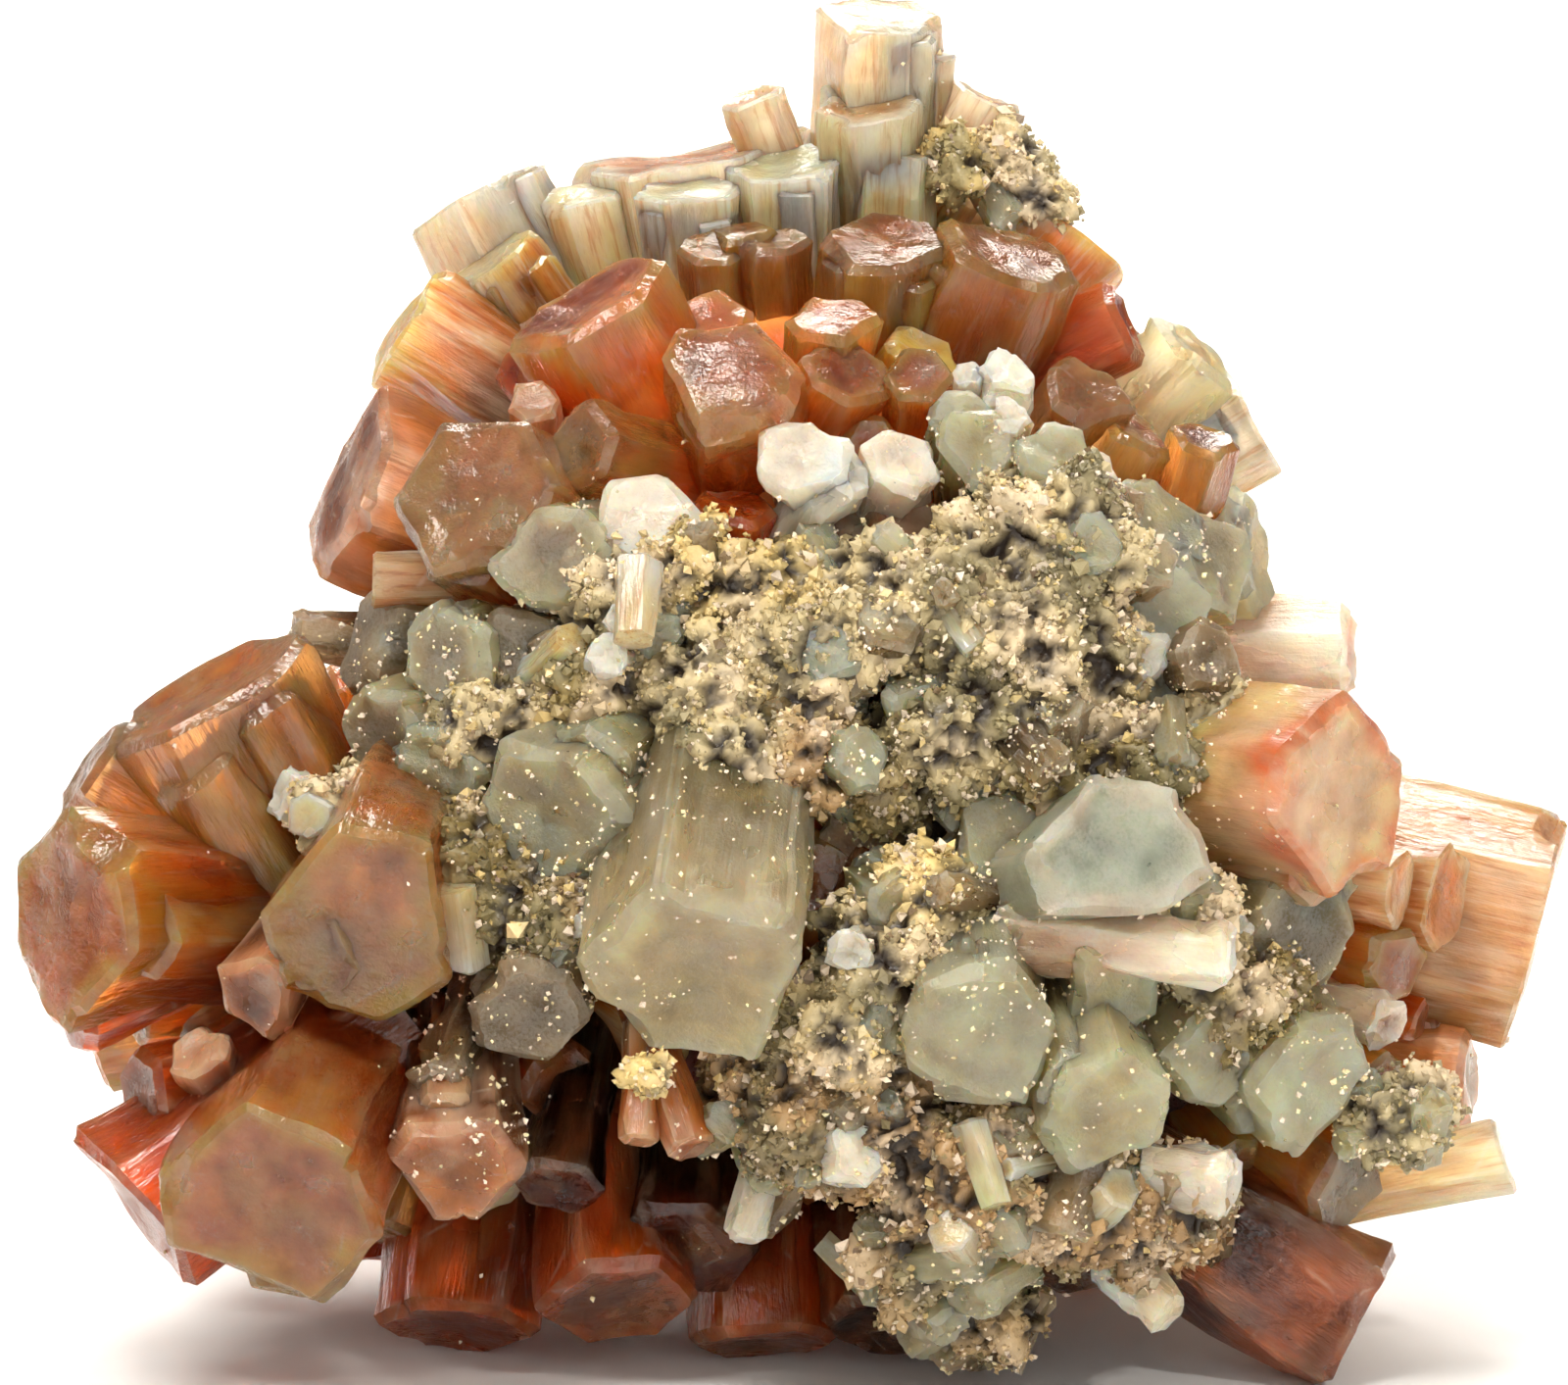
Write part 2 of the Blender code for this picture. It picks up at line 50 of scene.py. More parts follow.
# The view that the cluster is described in: u to the right, v up and d towards the viewer, in
# millimetres, from the point on the ground under the middle of the front view
VIEW_ELEVATION = math.radians(10.0)
VIEW_DISTANCE = 420.0
VIEW_CENTRE_V = 19.5
VIEW_WIDTH = 48.0
FOOTPRINT_CENTRE_X = 0.35

# Colours as seen, in sRGB
TONES = {
    "honey": (255, 194, 98), "amber": (250, 152, 50), "orange": (228, 102, 18), "rust": (184, 74, 16),
    "deep_rust": (108, 32, 8), "cream": (255, 215, 160), "peach": (196, 144, 92), "rose": (232, 162, 118),
    "tan": (218, 134, 62), "brown": (160, 88, 44), "umber": (76, 40, 18), "sage": (232, 210, 154),
    "pale_sage": (248, 234, 188), "olive": (134, 116, 68), "smoke": (154, 130, 90),
    "grey": (182, 154, 110), "white": (246, 228, 206), "aqua": (180, 190, 162), "lilac": (212, 172, 142),
    # The near-black tone for the hollows of the crust is painted shade.
    "sand": (206, 188, 144), "straw": (222, 196, 130), "drab": (172, 138, 94), "hollow_shade": (40, 27, 15),
    "plum": (150, 94, 62), "ember": (44, 12, 5), "moss": (126, 118, 84),
    "pale_frost_and_highlight": (232, 210, 178), "apricot": (246, 180, 132),
}


class Kind(NamedTuple):
    """A kind of crystal."""

    group: str  # of crystals that are joined in one piece
    tip: str  # tones of the tip, the sides and the root
    side: str
    root: str
    fade: float  # how far down the root's tone is full, in mm
    surface: str


KINDS = {
    "amber": Kind("amber", "honey", "amber", "rust", 4.5, "sharp"),
    "honey": Kind("amber", "peach", "honey", "orange", 5.5, "sharp"),
    "halo": Kind("rose", "orange", "cream", "honey", 6.0, "sharp"),
    "rust": Kind("rust", "orange", "rust", "deep_rust", 5.0, "sharp"),
    "brown": Kind("rust", "brown", "brown", "ember", 3.6, "sharp"),
    # The cave kind's near-black tones are partly the dark red-brown of the lowest crystals and partly
    # painted shade of the hollow under the overhang.
    "cave": Kind("rust", "deep_rust", "ember", "ember", 2.0, "sharp"),
    "rose": Kind("rose", "rose", "tan", "brown", 4.5, "sharp"),
    "plum": Kind("rose", "rose", "plum", "umber", 3.0, "sharp"),
    "cream": Kind("cream", "white", "cream", "honey", 4.5, "grooved"),
    "fan": Kind("cream", "honey", "tan", "deep_rust", 3.6, "grooved"),
    "peach": Kind("cream", "peach", "peach", "tan", 5.5, "grooved"),
    "sage": Kind("sage", "pale_sage", "sage", "olive", 4.5, "frosted"),
    "olive": Kind("sage", "sage", "olive", "umber", 3.6, "frosted"),
    "smoke": Kind("smoke", "grey", "smoke", "umber", 3.0, "frosted"),
    "snow": Kind("white", "white", "pale_frost_and_highlight", "lilac", 4.0, "frosted"),
    "aqua": Kind("aqua", "white", "aqua", "sage", 4.5, "frosted"),
}

# Surfaces: groove and step depth as a part of the radius, corner sharpness, rim bevel in mm, how many
# chips the rim has, height of the bumps in mm, hollow of the end face as a part of the width, frosting
SURFACES = {
    "sharp": {"groove": 0.006, "step": 0.040, "corner": 24.0, "bevel": 0.28, "chips": 5, "bump": 0.034,
              "dish": 0.030, "frost": 0.15},
    "grooved": {"groove": 0.020, "step": 0.045, "corner": 34.0, "bevel": 0.10, "chips": 5, "bump": 0.020,
                "dish": 0.020, "frost": 0.20},
    "frosted": {"groove": 0.022, "step": 0.035, "corner": 14.0, "bevel": 0.30, "chips": 12, "bump": 0.095,
                "dish": 0.060, "frost": 0.60},
}

# The middles that the crystals radiate from: u, v and d, then radii across, up and towards the viewer
NUCLEI = {
    "upper": ((-0.5, 25.0, 1.0), (9.3, 7.6, 8.6)),
    "lower_left": ((-11.0, 11.5, 1.5), (8.0, 8.3, 7.2)),
    "lower_right": ((10.0, 12.0, 1.5), (9.4, 9.0, 9.0)),
    "middle": ((0.5, 14.0, 1.0), (8.6, 10.0, 10.2)),
}

# Single crystals: name, end-face centre u, v, d, clock angle and lean of the axis in degrees, width
# across flats, length, kind and tone of the end face
CRYSTALS = [
    # Top
    ("top_spire", 2.8, 40.2, 1.0, 88, 15, 4.1, 8, "cream", "cream"),
    ("spire_base", 2.7, 37.7, 2.4, 90, 30, 3.3, 6, "cream", "peach"),
    ("top_bud", -1.0, 37.8, 0.5, 110, 20, 1.8, 5, "cream", "rose"),
    ("spire_shoulder", 6.2, 37.8, 0.0, 62, 10, 2.6, 7, "cream", "tan"),
    ("spire_flank", 7.5, 35.6, 0.5, 50, 15, 2.4, 6, "cream", "sand"),
    ("crest", -3.1, 36.0, -1.0, 101, 8, 7.4, 10, "cream", "tan"),
    ("cream_left", -5.9, 34.8, 1.0, 105, 15, 2.7, 7, "cream", "cream"),
    ("cream_middle", -3.0, 34.9, 3.0, 95, 20, 3.0, 7, "cream", "cream"),
    ("cream_tall", 0.0, 35.7, 2.0, 92, 18, 3.4, 8, "cream", "sage"),
    ("cream_right", 3.2, 36.1, 2.0, 88, 15, 2.8, 8, "cream", "cream"),
    ("step_right", -0.3, 33.4, 5.0, 92, 25, 2.1, 6, "honey", "cream"),
    ("step_left", -2.2, 33.1, 5.0, 94, 25, 2.1, 6, "honey", "cream"),
    # Crown
    ("crown_rust_left", -5.9, 31.5, 8.0, 119, 22, 4.4, 8, "amber", "brown"),
    ("crown_orange", 3.1, 33.4, 6.0, 88, 25, 4.0, 8, "honey", "tan"),
    ("crown_rust_right", 6.7, 33.2, 5.0, 67, 17, 4.6, 9, "amber", "tan"),
    ("crown_back_cap", 8.9, 33.7, 0.0, 48, 2, 4.4, 9, "fan", "brown"),
    ("crown_corner", 10.6, 30.9, 3.0, 28, 10, 2.8, 8, "rust", "rust"),
    ("rose_hexagon", -1.6, 29.4, 12.0, 95, 62, 4.1, 8, "amber", "lilac"),
    ("rose_slope", 1.5, 31.0, 9.0, 80, 35, 2.8, 7, "amber", "tan"),
    ("smoke_slope", 2.0, 29.5, 10.0, 60, 40, 2.6, 6, "amber", "brown"),
    ("rose_small", 4.2, 29.3, 10.0, 85, 45, 2.0, 6, "amber", "rose"),
    ("rose_facet", -7.7, 28.4, 8.5, 100, 50, 1.6, 5, "rose", "rose"),
    # Upper left
    ("cream_tablet", -9.7, 34.7, -1.0, 120, 4, 4.3, 11, "cream", "cream"),
    ("cream_fan", -9.0, 32.8, 2.0, 125, 10, 3.3, 9, "fan", "cream"),
    ("amber_fan", -11.8, 30.6, 3.0, 150, 6, 3.9, 9, "fan", "honey"),
    ("brown_lens", -13.5, 26.1, 6.0, 158, 17, 5.6, 10, "rose", "brown"),
    ("amber_block", -9.7, 25.5, 12.0, 150, 62, 4.8, 9, "honey", "apricot"),
    ("grey_brown", -6.3, 27.0, 11.0, 165, 50, 2.9, 7, "honey", "grey"),
    ("sage_round", -7.1, 23.5, 13.5, 200, 75, 3.2, 7, "sage", "grey"),
    ("white_round", -4.3, 24.8, 13.0, 100, 65, 3.1, 7, "snow", "white"),
    # Left waist
    ("waist_strip", -12.6, 23.0, 9.0, 180, 5, 1.6, 8, "peach", "peach"),
    ("waist_smoke", -12.9, 21.1, 8.0, 170, 20, 3.2, 8, "smoke", "grey"),
    ("waist_grey", -15.0, 21.3, 5.5, 172, 10, 1.7, 7, "smoke", "grey"),
    ("waist_oval", -10.5, 20.6, 12.0, 185, 65, 3.1, 7, "sage", "grey"),
    ("waist_dark", -8.2, 20.8, 12.0, 190, 65, 2.8, 7, "smoke", "smoke"),
    ("waist_grain", -12.4, 18.1, 11.0, 200, 50, 3.3, 8, "sage", "grey"),
    ("waist_pale", -10.8, 16.9, 12.5, 215, 60, 3.2, 7, "sage", "sage"),
    ("sage_left", -7.3, 16.0, 15.0, 215, 55, 4.7, 9, "sage", "sage"),
    ("sage_large", -2.6, 10.6, 18.0, 262, 48, 7.0, 11, "sage", "sage"),
    # Lower left
    ("amber_wide", -17.7, 19.7, 8.0, 120, 14, 7.0, 11, "honey", "amber"),
    ("amber_edge", -21.4, 17.2, 6.5, 150, 6, 3.6, 9, "honey", "lilac"),
    ("amber_disc", -21.8, 12.5, 12.0, 182, 44, 5.7, 9, "amber", "tan"),
    ("amber_under", -22.0, 9.9, 8.0, 205, 15, 3.4, 9, "rust", "rust"),
    ("rose_disc", -12.9, 12.3, 16.0, 250, 68, 5.8, 9, "amber", "apricot"),
    ("plum_small", -16.2, 10.1, 13.5, 235, 50, 2.6, 7, "plum", "plum"),
    ("smoke_speckled", -7.7, 9.6, 14.0, 260, 60, 3.4, 7, "smoke", "smoke"),
    ("rust_disc", -15.5, 3.9, 18.0, 250, 66, 6.4, 12, "amber", "rose"),
    ("rust_ledge", -19.8, 7.2, 11.0, 190, 30, 3.0, 9, "rust", "plum"),
    ("rust_glint", -18.1, 8.5, 12.5, 120, 50, 1.9, 5, "plum", "rose"),
    ("rust_corner", -19.7, 3.4, 11.0, 215, 8, 5.5, 10, "rust", "rust"),
    ("smoke_crumbed", -10.1, 4.9, 15.0, 270, 60, 3.8, 8, "plum", "tan"),
    ("pale_brown", -10.5, 7.3, 14.0, 250, 50, 1.6, 6, "smoke", "grey"),
    # Bottom
    ("foot_rust_left", -10.1, -0.1, 4.6, 262, 20, 4.4, 9, "rust", "rust"),
    ("foot_rust_right", -5.3, 0.5, 8.0, 275, 35, 4.8, 9, "rust", "brown"),
    ("cave_floor", -7.0, 4.3, 10.0, 260, 40, 2.8, 7, "cave", "deep_rust"),
    ("tooth_left", -4.5, 5.7, 14.0, 268, 15, 1.3, 5, "rose", "rose"),
    ("tooth_right", -2.8, 5.5, 14.0, 290, 15, 1.6, 5, "rose", "brown"),
    ("foot_dark", -3.0, 2.3, 8.0, 270, 40, 4.0, 8, "cave", "deep_rust"),
    ("foot_front", -0.7, -0.45, 5.4, 272, 20, 3.9, 8, "rust", "brown"),
    ("lilac_shard", -1.3, 2.8, 12.0, 255, 15, 1.3, 5, "snow", "lilac"),
    ("foot_brown", 3.1, 0.1, 6.5, 275, 25, 3.8, 8, "brown", "umber"),
    ("dark_band", 8.8, 2.2, 8.0, 285, 40, 3.6, 8, "brown", "umber"),
    ("brown_slab", 17.5, 0.2, 6.4, 327, 5, 5.2, 11, "brown", "brown"),
    ("striped_base", 12.8, 4.2, 12.0, 330, 25, 2.4, 7, "plum", "plum"),
    ("yellow_base", 17.3, 4.2, 8.0, 325, 35, 3.2, 8, "honey", "sand"),
    # Right
    ("amber_end", 17.1, 16.2, 14.0, 350, 45, 5.6, 9, "halo", "cream"),
    ("cream_horn", 12.3, 18.0, 12.0, 165, 30, 1.2, 4, "cream", "cream"),
    ("peach_tablet", 22.9, 12.1, 2.0, 346, 4, 6.9, 12, "peach", "peach"),
    ("embedded_face", 20.3, 13.2, 6.5, 350, 30, 2.9, 8, "peach", "tan"),
    ("striated_small", 18.9, 13.4, 8.5, 350, 20, 2.2, 7, "peach", "tan"),
    ("grey_brown_end", 21.1, 7.6, 2.0, 352, 5, 3.8, 9, "rose", "grey"),
    ("white_finger", 22.1, 5.4, 5.0, 12, 5, 2.4, 10, "cream", "white"),
    ("aqua_hexagon", 10.3, 14.8, 17.0, 20, 70, 5.0, 9, "aqua", "aqua"),
    ("sage_shadow", 6.7, 15.1, 14.0, 60, 70, 3.0, 7, "olive", "sage"),
    ("white_prism", 13.7, 11.4, 15.5, 355, 10, 1.8, 7, "snow", "white"),
    ("waist_right", 17.4, 20.8, 3.0, 0, 4, 2.9, 9, "snow", "tan"),
    ("green_tip", 6.1, 8.8, 17.0, 280, 65, 4.5, 9, "sage", "pale_sage"),
    ("sage_speckled", 9.8, 6.5, 16.0, 285, 55, 4.0, 9, "sage", "sage"),
    ("sage_crumbed", 13.2, 8.2, 13.5, 320, 60, 3.2, 8, "sage", "sage"),
    ("sage_wide", 16.0, 7.4, 12.5, 320, 55, 4.4, 9, "sage", "pale_sage"),
    ("olive_right", 15.9, 12.1, 11.5, 330, 50, 4.2, 9, "olive", "olive"),
    ("clear_window", 13.0, 20.6, 12.0, 20, 60, 2.2, 6, "smoke", "smoke"),
    ("sage_mass", 11.3, 22.2, 11.0, 35, 50, 4.0, 8, "sage", "pale_sage"),
    ("sage_edge", 14.5, 23.9, 3.5, 10, 10, 4.6, 9, "sage", "sage"),
    ("sage_mid", 13.3, 23.6, 8.0, 20, 30, 3.6, 8, "sage", "sand"),
    ("sage_upper", 11.6, 25.1, 9.0, 45, 40, 3.0, 7, "sage", "sage"),
    ("sage_lower", 11.0, 19.7, 12.0, 350, 60, 3.2, 7, "sage", "sand"),
    ("lilac_bit", 18.6, 9.4, 9.5, 340, 40, 1.6, 6, "snow", "lilac"),
    # Upper right
    ("orange_rim", 10.8, 27.5, 7.0, 60, 20, 2.4, 7, "amber", "orange"),
    ("orange_cap", 12.8, 27.4, 6.5, 75, 25, 2.3, 7, "amber", "brown"),
    ("cream_shoulder", 14.4, 27.7, 0.0, 32, 3, 3.6, 9, "cream", "straw"),
    ("sage_shoulder", 12.7, 30.0, 2.0, 45, 10, 3.2, 8, "sage", "sage"),
    ("orange_facet", 9.3, 28.9, 7.5, 60, 45, 2.6, 6, "honey", "peach"),
    # White and sage ends under the crown
    ("white_hexagon", 0.6, 26.8, 13.2, 110, 70, 2.7, 6, "snow", "white"),
    ("white_sliver", 2.1, 26.3, 12.6, 45, 35, 1.8, 5, "snow", "white"),
    ("white_broken", 3.5, 26.7, 12.2, 70, 60, 2.4, 6, "snow", "white"),
    ("white_bit_right", 6.9, 29.4, 9.2, 80, 40, 1.6, 5, "snow", "white"),
    ("white_bit_left", 5.6, 29.3, 9.2, 95, 50, 1.0, 4, "snow", "white"),
    ("white_bit_low", 6.9, 27.9, 11.5, 85, 65, 1.2, 4, "snow", "white"),
    ("sage_hexagon", 8.4, 26.9, 12.0, 70, 60, 2.7, 6, "sage", "sage"),
    ("sage_pair", 6.0, 27.0, 12.0, 90, 65, 2.6, 6, "sage", "sage"),
    ("sage_back", 5.5, 28.2, 10.8, 95, 50, 2.0, 6, "sage", "sage"),
    # Ends showing in the crust
    ("rose_sunk", 1.4, 24.4, 11.2, 90, 30, 3.2, 6, "rose", "lilac"),
    ("lilac_sunk", 3.9, 24.8, 11.2, 70, 50, 2.4, 5, "plum", "lilac"),
    ("cream_sunk", 9.4, 23.8, 12.2, 60, 50, 2.0, 5, "cream", "cream"),
    ("sage_sunk", 4.8, 20.6, 13.0, 90, 80, 2.2, 5, "sage", "grey"),
    ("sage_sunk_low", 1.4, 19.2, 13.0, 80, 80, 2.0, 5, "sage", "sage"),
    ("lilac_low", 2.1, 14.8, 12.5, 200, 60, 2.6, 6, "smoke", "lilac"),
    ("brown_low", 3.0, 13.2, 12.5, 270, 60, 2.4, 6, "plum", "plum"),
    ("sage_front", 10.2, 10.4, 15.0, 300, 60, 3.2, 7, "sage", "sage"),
    ("sage_front_left", 7.8, 11.9, 15.0, 300, 70, 2.6, 6, "sage", "sage"),
    ("white_knob", -0.4, 6.1, 14.0, 280, 60, 1.5, 5, "snow", "white"),
    ("rust_sunk", -1.5, 25.2, 11.6, 85, 25, 2.6, 6, "rust", "rust"),
]

# Turns of single crystals about their own axis, in degrees, where they have one
ROLLS = {"spire_base": 10, "spire_flank": 20, "cream_middle": 15}

# Crystals of the hidden sides: clock angle, lean, width across flats, reach, roll, kind and end tone
BACK_FANS = {
    "upper": [
        (22, -18, 4.2, 12.8, 0, "amber", "brown"), (52, -20, 3.8, 11.6, 20, "fan", "tan"),
        (80, -16, 4.0, 11.8, 5, "cream", "cream"), (112, -22, 3.6, 10.4, 30, "cream", "peach"),
        (140, -18, 4.4, 11.6, 0, "fan", "honey"), (166, -20, 4.8, 12.4, 12, "amber", "tan"),
        (5, -45, 5.0, 13.2, 0, "honey", "rose"), (42, -48, 4.4, 12.8, 25, "amber", "orange"),
        (76, -44, 5.2, 12.6, 10, "cream", "cream"), (112, -46, 4.2, 12.4, 40, "fan", "peach"),
        (146, -44, 4.8, 13.2, 5, "amber", "brown"), (178, -47, 4.4, 13.0, 18, "rust", "rose"),
        (20, -70, 4.6, 14.0, 0, "amber", "rose"), (85, -72, 5.4, 14.4, 15, "honey", "tan"),
        (150, -70, 4.8, 14.2, 30, "amber", "amber"), (235, -78, 4.4, 13.6, 8, "rust", "brown"),
    ],
    "lower_left": [
        (104, -20, 3.6, 9.4, 0, "amber", "tan"), (134, -22, 4.0, 10.2, 15, "honey", "amber"),
        (162, -18, 4.4, 10.8, 0, "amber", "rose"), (192, -22, 4.6, 10.9, 25, "amber", "brown"),
        (220, -18, 4.2, 10.4, 5, "rust", "rust"), (250, -24, 4.4, 9.8, 0, "rust", "brown"),
        (110, -52, 4.8, 11.4, 10, "honey", "peach"), (158, -50, 5.2, 12.2, 0, "amber", "tan"),
        (205, -52, 4.8, 12.0, 20, "amber", "rose"), (250, -50, 4.4, 10.6, 0, "rust", "rust"),
        (170, -80, 5.4, 12.8, 12, "amber", "orange"), (300, -66, 4.6, 11.8, 0, "rust", "plum"),
    ],
    "lower_right": [
        (62, -18, 3.8, 8.8, 0, "sage", "sage"), (30, -22, 4.4, 10.2, 12, "cream", "cream"),
        (358, -20, 4.8, 11.6, 0, "peach", "peach"), (330, -20, 4.4, 10.8, 20, "rose", "rose"),
        (300, -24, 4.2, 9.2, 0, "brown", "brown"), (60, -50, 5.0, 11.6, 5, "cream", "sand"),
        (14, -50, 5.2, 12.8, 15, "peach", "tan"), (330, -52, 4.8, 12.2, 0, "amber", "peach"),
        (288, -50, 4.4, 10.6, 25, "brown", "brown"), (0, -80, 5.6, 13.4, 0, "honey", "peach"),
        (240, -68, 4.6, 12.2, 10, "amber", "rose"),
    ],
    "middle": [
        (90, -62, 4.6, 13.0, 0, "cream", "tan"), (270, -80, 5.0, 13.8, 15, "amber", "tan"),
        (262, -46, 4.8, 13.2, 0, "rust", "brown"), (282, -28, 4.4, 13.0, 20, "rust", "rust"),
    ],
}
BACK_ROOT = 2.0

# Crystals that it stands on: ground position x and y, width, tilt direction, tilt and kind
FEET = [
    (0.5, 2.0, 4.6, 0, 0, "rust"), (-8.5, 7.5, 3.8, 130, 20, "rust"),
    (10.0, 8.0, 4.0, 40, 22, "brown"), (1.0, 10.5, 4.0, 95, 24, "rust"),
]
FOOT_LENGTH = 9.0
FOOT_SINK = 0.25

# Lumps of crust: u, v, d, radius and tone
CRUST = [
    (-0.2, 22.7, 12.2, 1.7, "straw"), (-2.5, 23.0, 12.4, 1.6, "straw"), (2.1, 22.4, 12.2, 1.6, "sand"),
    (-4.7, 22.2, 12.4, 1.8, "sand"), (-2.4, 19.2, 12.6, 2.3, "sand"), (-5.4, 20.0, 12.4, 1.8, "olive"),
    (0.2, 20.4, 12.6, 2.0, "sand"), (3.0, 22.2, 12.6, 2.0, "sand"), (6.0, 22.0, 12.4, 2.5, "sand"),
    (8.4, 24.2, 11.6, 2.4, "sand"), (8.4, 20.6, 12.0, 2.4, "sand"), (8.2, 17.6, 12.4, 2.3, "olive"),
    (5.5, 18.2, 12.8, 2.1, "sand"), (2.8, 17.2, 12.4, 1.8, "olive"), (10.8, 17.2, 12.4, 1.8, "olive"),
    (12.8, 17.6, 10.6, 2.0, "sand"), (4.2, 12.9, 14.2, 1.7, "straw"), (3.0, 11.3, 14.6, 1.9, "sand"),
    (5.4, 10.9, 14.8, 1.6, "sand"), (1.9, 9.3, 14.4, 1.8, "sand"), (-7.6, 13.2, 12.4, 2.2, "olive"),
    (-9.8, 14.6, 11.6, 2.1, "olive"), (-5.8, 13.3, 13.4, 1.7, "smoke"), (-12.6, 15.6, 11.0, 1.8, "sand"),
    (0.4, 7.2, 13.0, 2.3, "drab"), (3.0, 6.2, 13.0, 2.4, "drab"), (5.6, 5.0, 13.0, 2.3, "drab"),
    (8.6, 4.2, 12.4, 2.2, "drab"), (11.2, 3.8, 11.6, 2.0, "drab"), (4.6, 2.8, 11.6, 2.2, "grey"),
    (5.9, 0.6, 10.2, 1.5, "grey"), (6.9, 35.6, 0.8, 1.0, "sand"), (13.6, 10.0, 12.0, 2.0, "olive"),
    (11.8, 12.0, 13.0, 2.0, "sand"), (18.6, 6.4, 9.8, 1.5, "sand"), (-8.6, 18.4, 12.0, 1.6, "sand"),
    (-4.0, 7.7, 17.2, 0.6, "straw"), (-1.8, 17.4, 14.4, 1.5, "sand"), (0.8, 17.2, 14.0, 1.4, "drab"),
    (5.2, 35.6, 1.8, 0.9, "straw"), (7.7, 34.6, 1.6, 0.9, "sand"),
]

# Other places where crumbs gather on the crystals: u, v, d and radius
DUST = [
    (-10.2, 6.2, 15.8, 1.6), (-8.6, 4.2, 14.6, 1.2), (-15.5, 18.6, 11.0, 1.2), (-12.0, 16.4, 13.0, 1.0),
    (-8.2, 10.4, 14.6, 1.2), (-12.6, 20.6, 12.4, 0.8), (-7.4, 16.0, 16.6, 0.6), (-2.6, 7.2, 18.0, 0.8),
    (6.8, 35.6, 1.6, 1.2), (5.4, 37.4, 1.8, 0.8), (13.0, 22.6, 10.0, 1.6), (15.4, 7.4, 14.2, 1.2),
    (17.8, 5.6, 9.6, 1.2), (-4.0, 25.0, 14.6, 1.0), (11.6, 26.6, 9.4, 1.2), (-6.0, 12.0, 15.0, 1.2),
]

# How finely a crystal is cut: where points stand along each of its sides, closer together at the
# corners, how many rows they make along its length, and the rings across its end face
FINE = {"steps": (0.02, 0.08, 0.20, 0.34, 0.50, 0.66, 0.80, 0.92, 0.98), "rows": 11,
        "rings": (0.93, 0.84, 0.72, 0.58, 0.42, 0.27, 0.13)}
COARSE = {"steps": (0.04, 0.20, 0.50, 0.80, 0.96), "rows": 8, "rings": (0.85, 0.55, 0.25)}
SMALL = {"steps": (0.05, 0.35, 0.65, 0.95), "rows": 5, "rings": (0.70, 0.35)}
FINE_ABOVE = 3.2
SMALL_BELOW = 1.5

# The shape of every crystal, in parts of its width unless a line says otherwise
SIDES = 6
ROOT_SCALE = 0.86
BEVEL_LIMIT = 0.09  # widest bevel of the rim
TERRACE = 0.012  # drop of the step on the end face
WARP = 0.03  # bending of the whole crystal
INSIDE = 0.46  # radius that counts as inside it
END_SLOPE = 0.035  # steepness of the end face
ROW_EASING = 1.7  # how much closer the rows stand towards the tip
SHARP_ANGLE = math.radians(26.0)  # above which an edge looks sharp

# Unevenness: how many waves are added up, and what brings their sum to about -1 to 1
WAVE_COUNT = 7
WAVE_LEVEL = 2.6

# Smaller crystals, in mm: companions of those wider than a limit, fillers on bare parts of the core, and
# small ends in the crust
COMPANION_ABOVE = 2.9
FILLER_COUNT = 150
FILLER_SPACING = 1.9
FILLER_GAPS = (0.3, 0.6, 2.0)  # least distance from the crust, other crystals and the ground
FILLER_STAND = (1.2, 3.2)  # height above the core
FILLER_ROOT = 2.5  # length sunk in the core
FILLER_ACROSS = (1.5, 2.8)
FILLER_KINDS = (("amber", "tan"), ("amber", "rose"), ("rust", "brown"), ("honey", "amber"),
                ("rust", "rust"), ("fan", "honey"), ("rose", "rose"), ("cream", "cream"))
SMALL_END_COUNT = 110
SMALL_END_SPACING = 1.1
SMALL_END_LENGTH = 2.6
SMALL_END_ACROSS = (0.8, 2.1)
SMALL_END_KINDS = (("sage", "sage"), ("smoke", "grey"), ("cream", "cream"), ("sage", "pale_sage"),
                   ("smoke", "sage"), ("snow", "white"))

# The core and the crust, each melted together from uneven balls, in mm
CORE_SHRINK = 0.90  # share of the nuclei's size
CORE_VOXEL = 0.60  # size of the cubes that it is melted from
CORE_UNEVEN = 0.10  # of its balls, as a part of their radius
CORE_BUMPS = (0.5, 0.35, 0.1)  # height of its coarse, middle and fine bumps
CRUST_VOXEL = 0.15
CRUST_UNEVEN = 0.35
CRUST_BUMPS = (0.42, 0.50, 0.34)
CRUST_SQUASH = np.array((1.1, 1.0, 0.95))
BUMP_SCALES = (0.75, 1.9, 4.4)  # how tight the three sizes of bump are
BALL_DETAIL = 4  # how often the triangles of a ball are divided

# Grains of the crust, in mm
GRAIN_COUNT = 22000
GRAIN_RADIUS = 0.078  # the middle one
GRAIN_SPREAD = 0.42  # of the radius, as a power of e
GRAIN_STRAY = 0.06  # how far they stand from the crust's points
# Share of the grains in other tones than the crust under them
# The white grains are partly white crumbs and partly painted sparkle.
GRAIN_TONES = (("white", 0.20), ("straw", 0.10), ("umber", 0.05), ("moss", 0.12))
GRAIN_CORNERS = np.array(((1, 0, 0), (-1, 0, 0), (0, 1, 0), (0, -1, 0), (0, 0, 1), (0, 0, -1)), float)
GRAIN_FACES = np.array(((0, 2, 4), (2, 1, 4), (1, 3, 4), (3, 0, 4),
                        (2, 0, 5), (1, 2, 5), (3, 1, 5), (0, 3, 5)))

# Crumbs on the crystals, in mm
CRUMB_RADIUS = 0.050
CRUMB_SPREAD = 0.45
CRUMB_LARGEST = 0.12
CRUMB_TONES = ("white", "pale_sage", "sand")
CRUMB_LIMITS = (0.55, 0.85)  # shares at which one tone gives way to the next
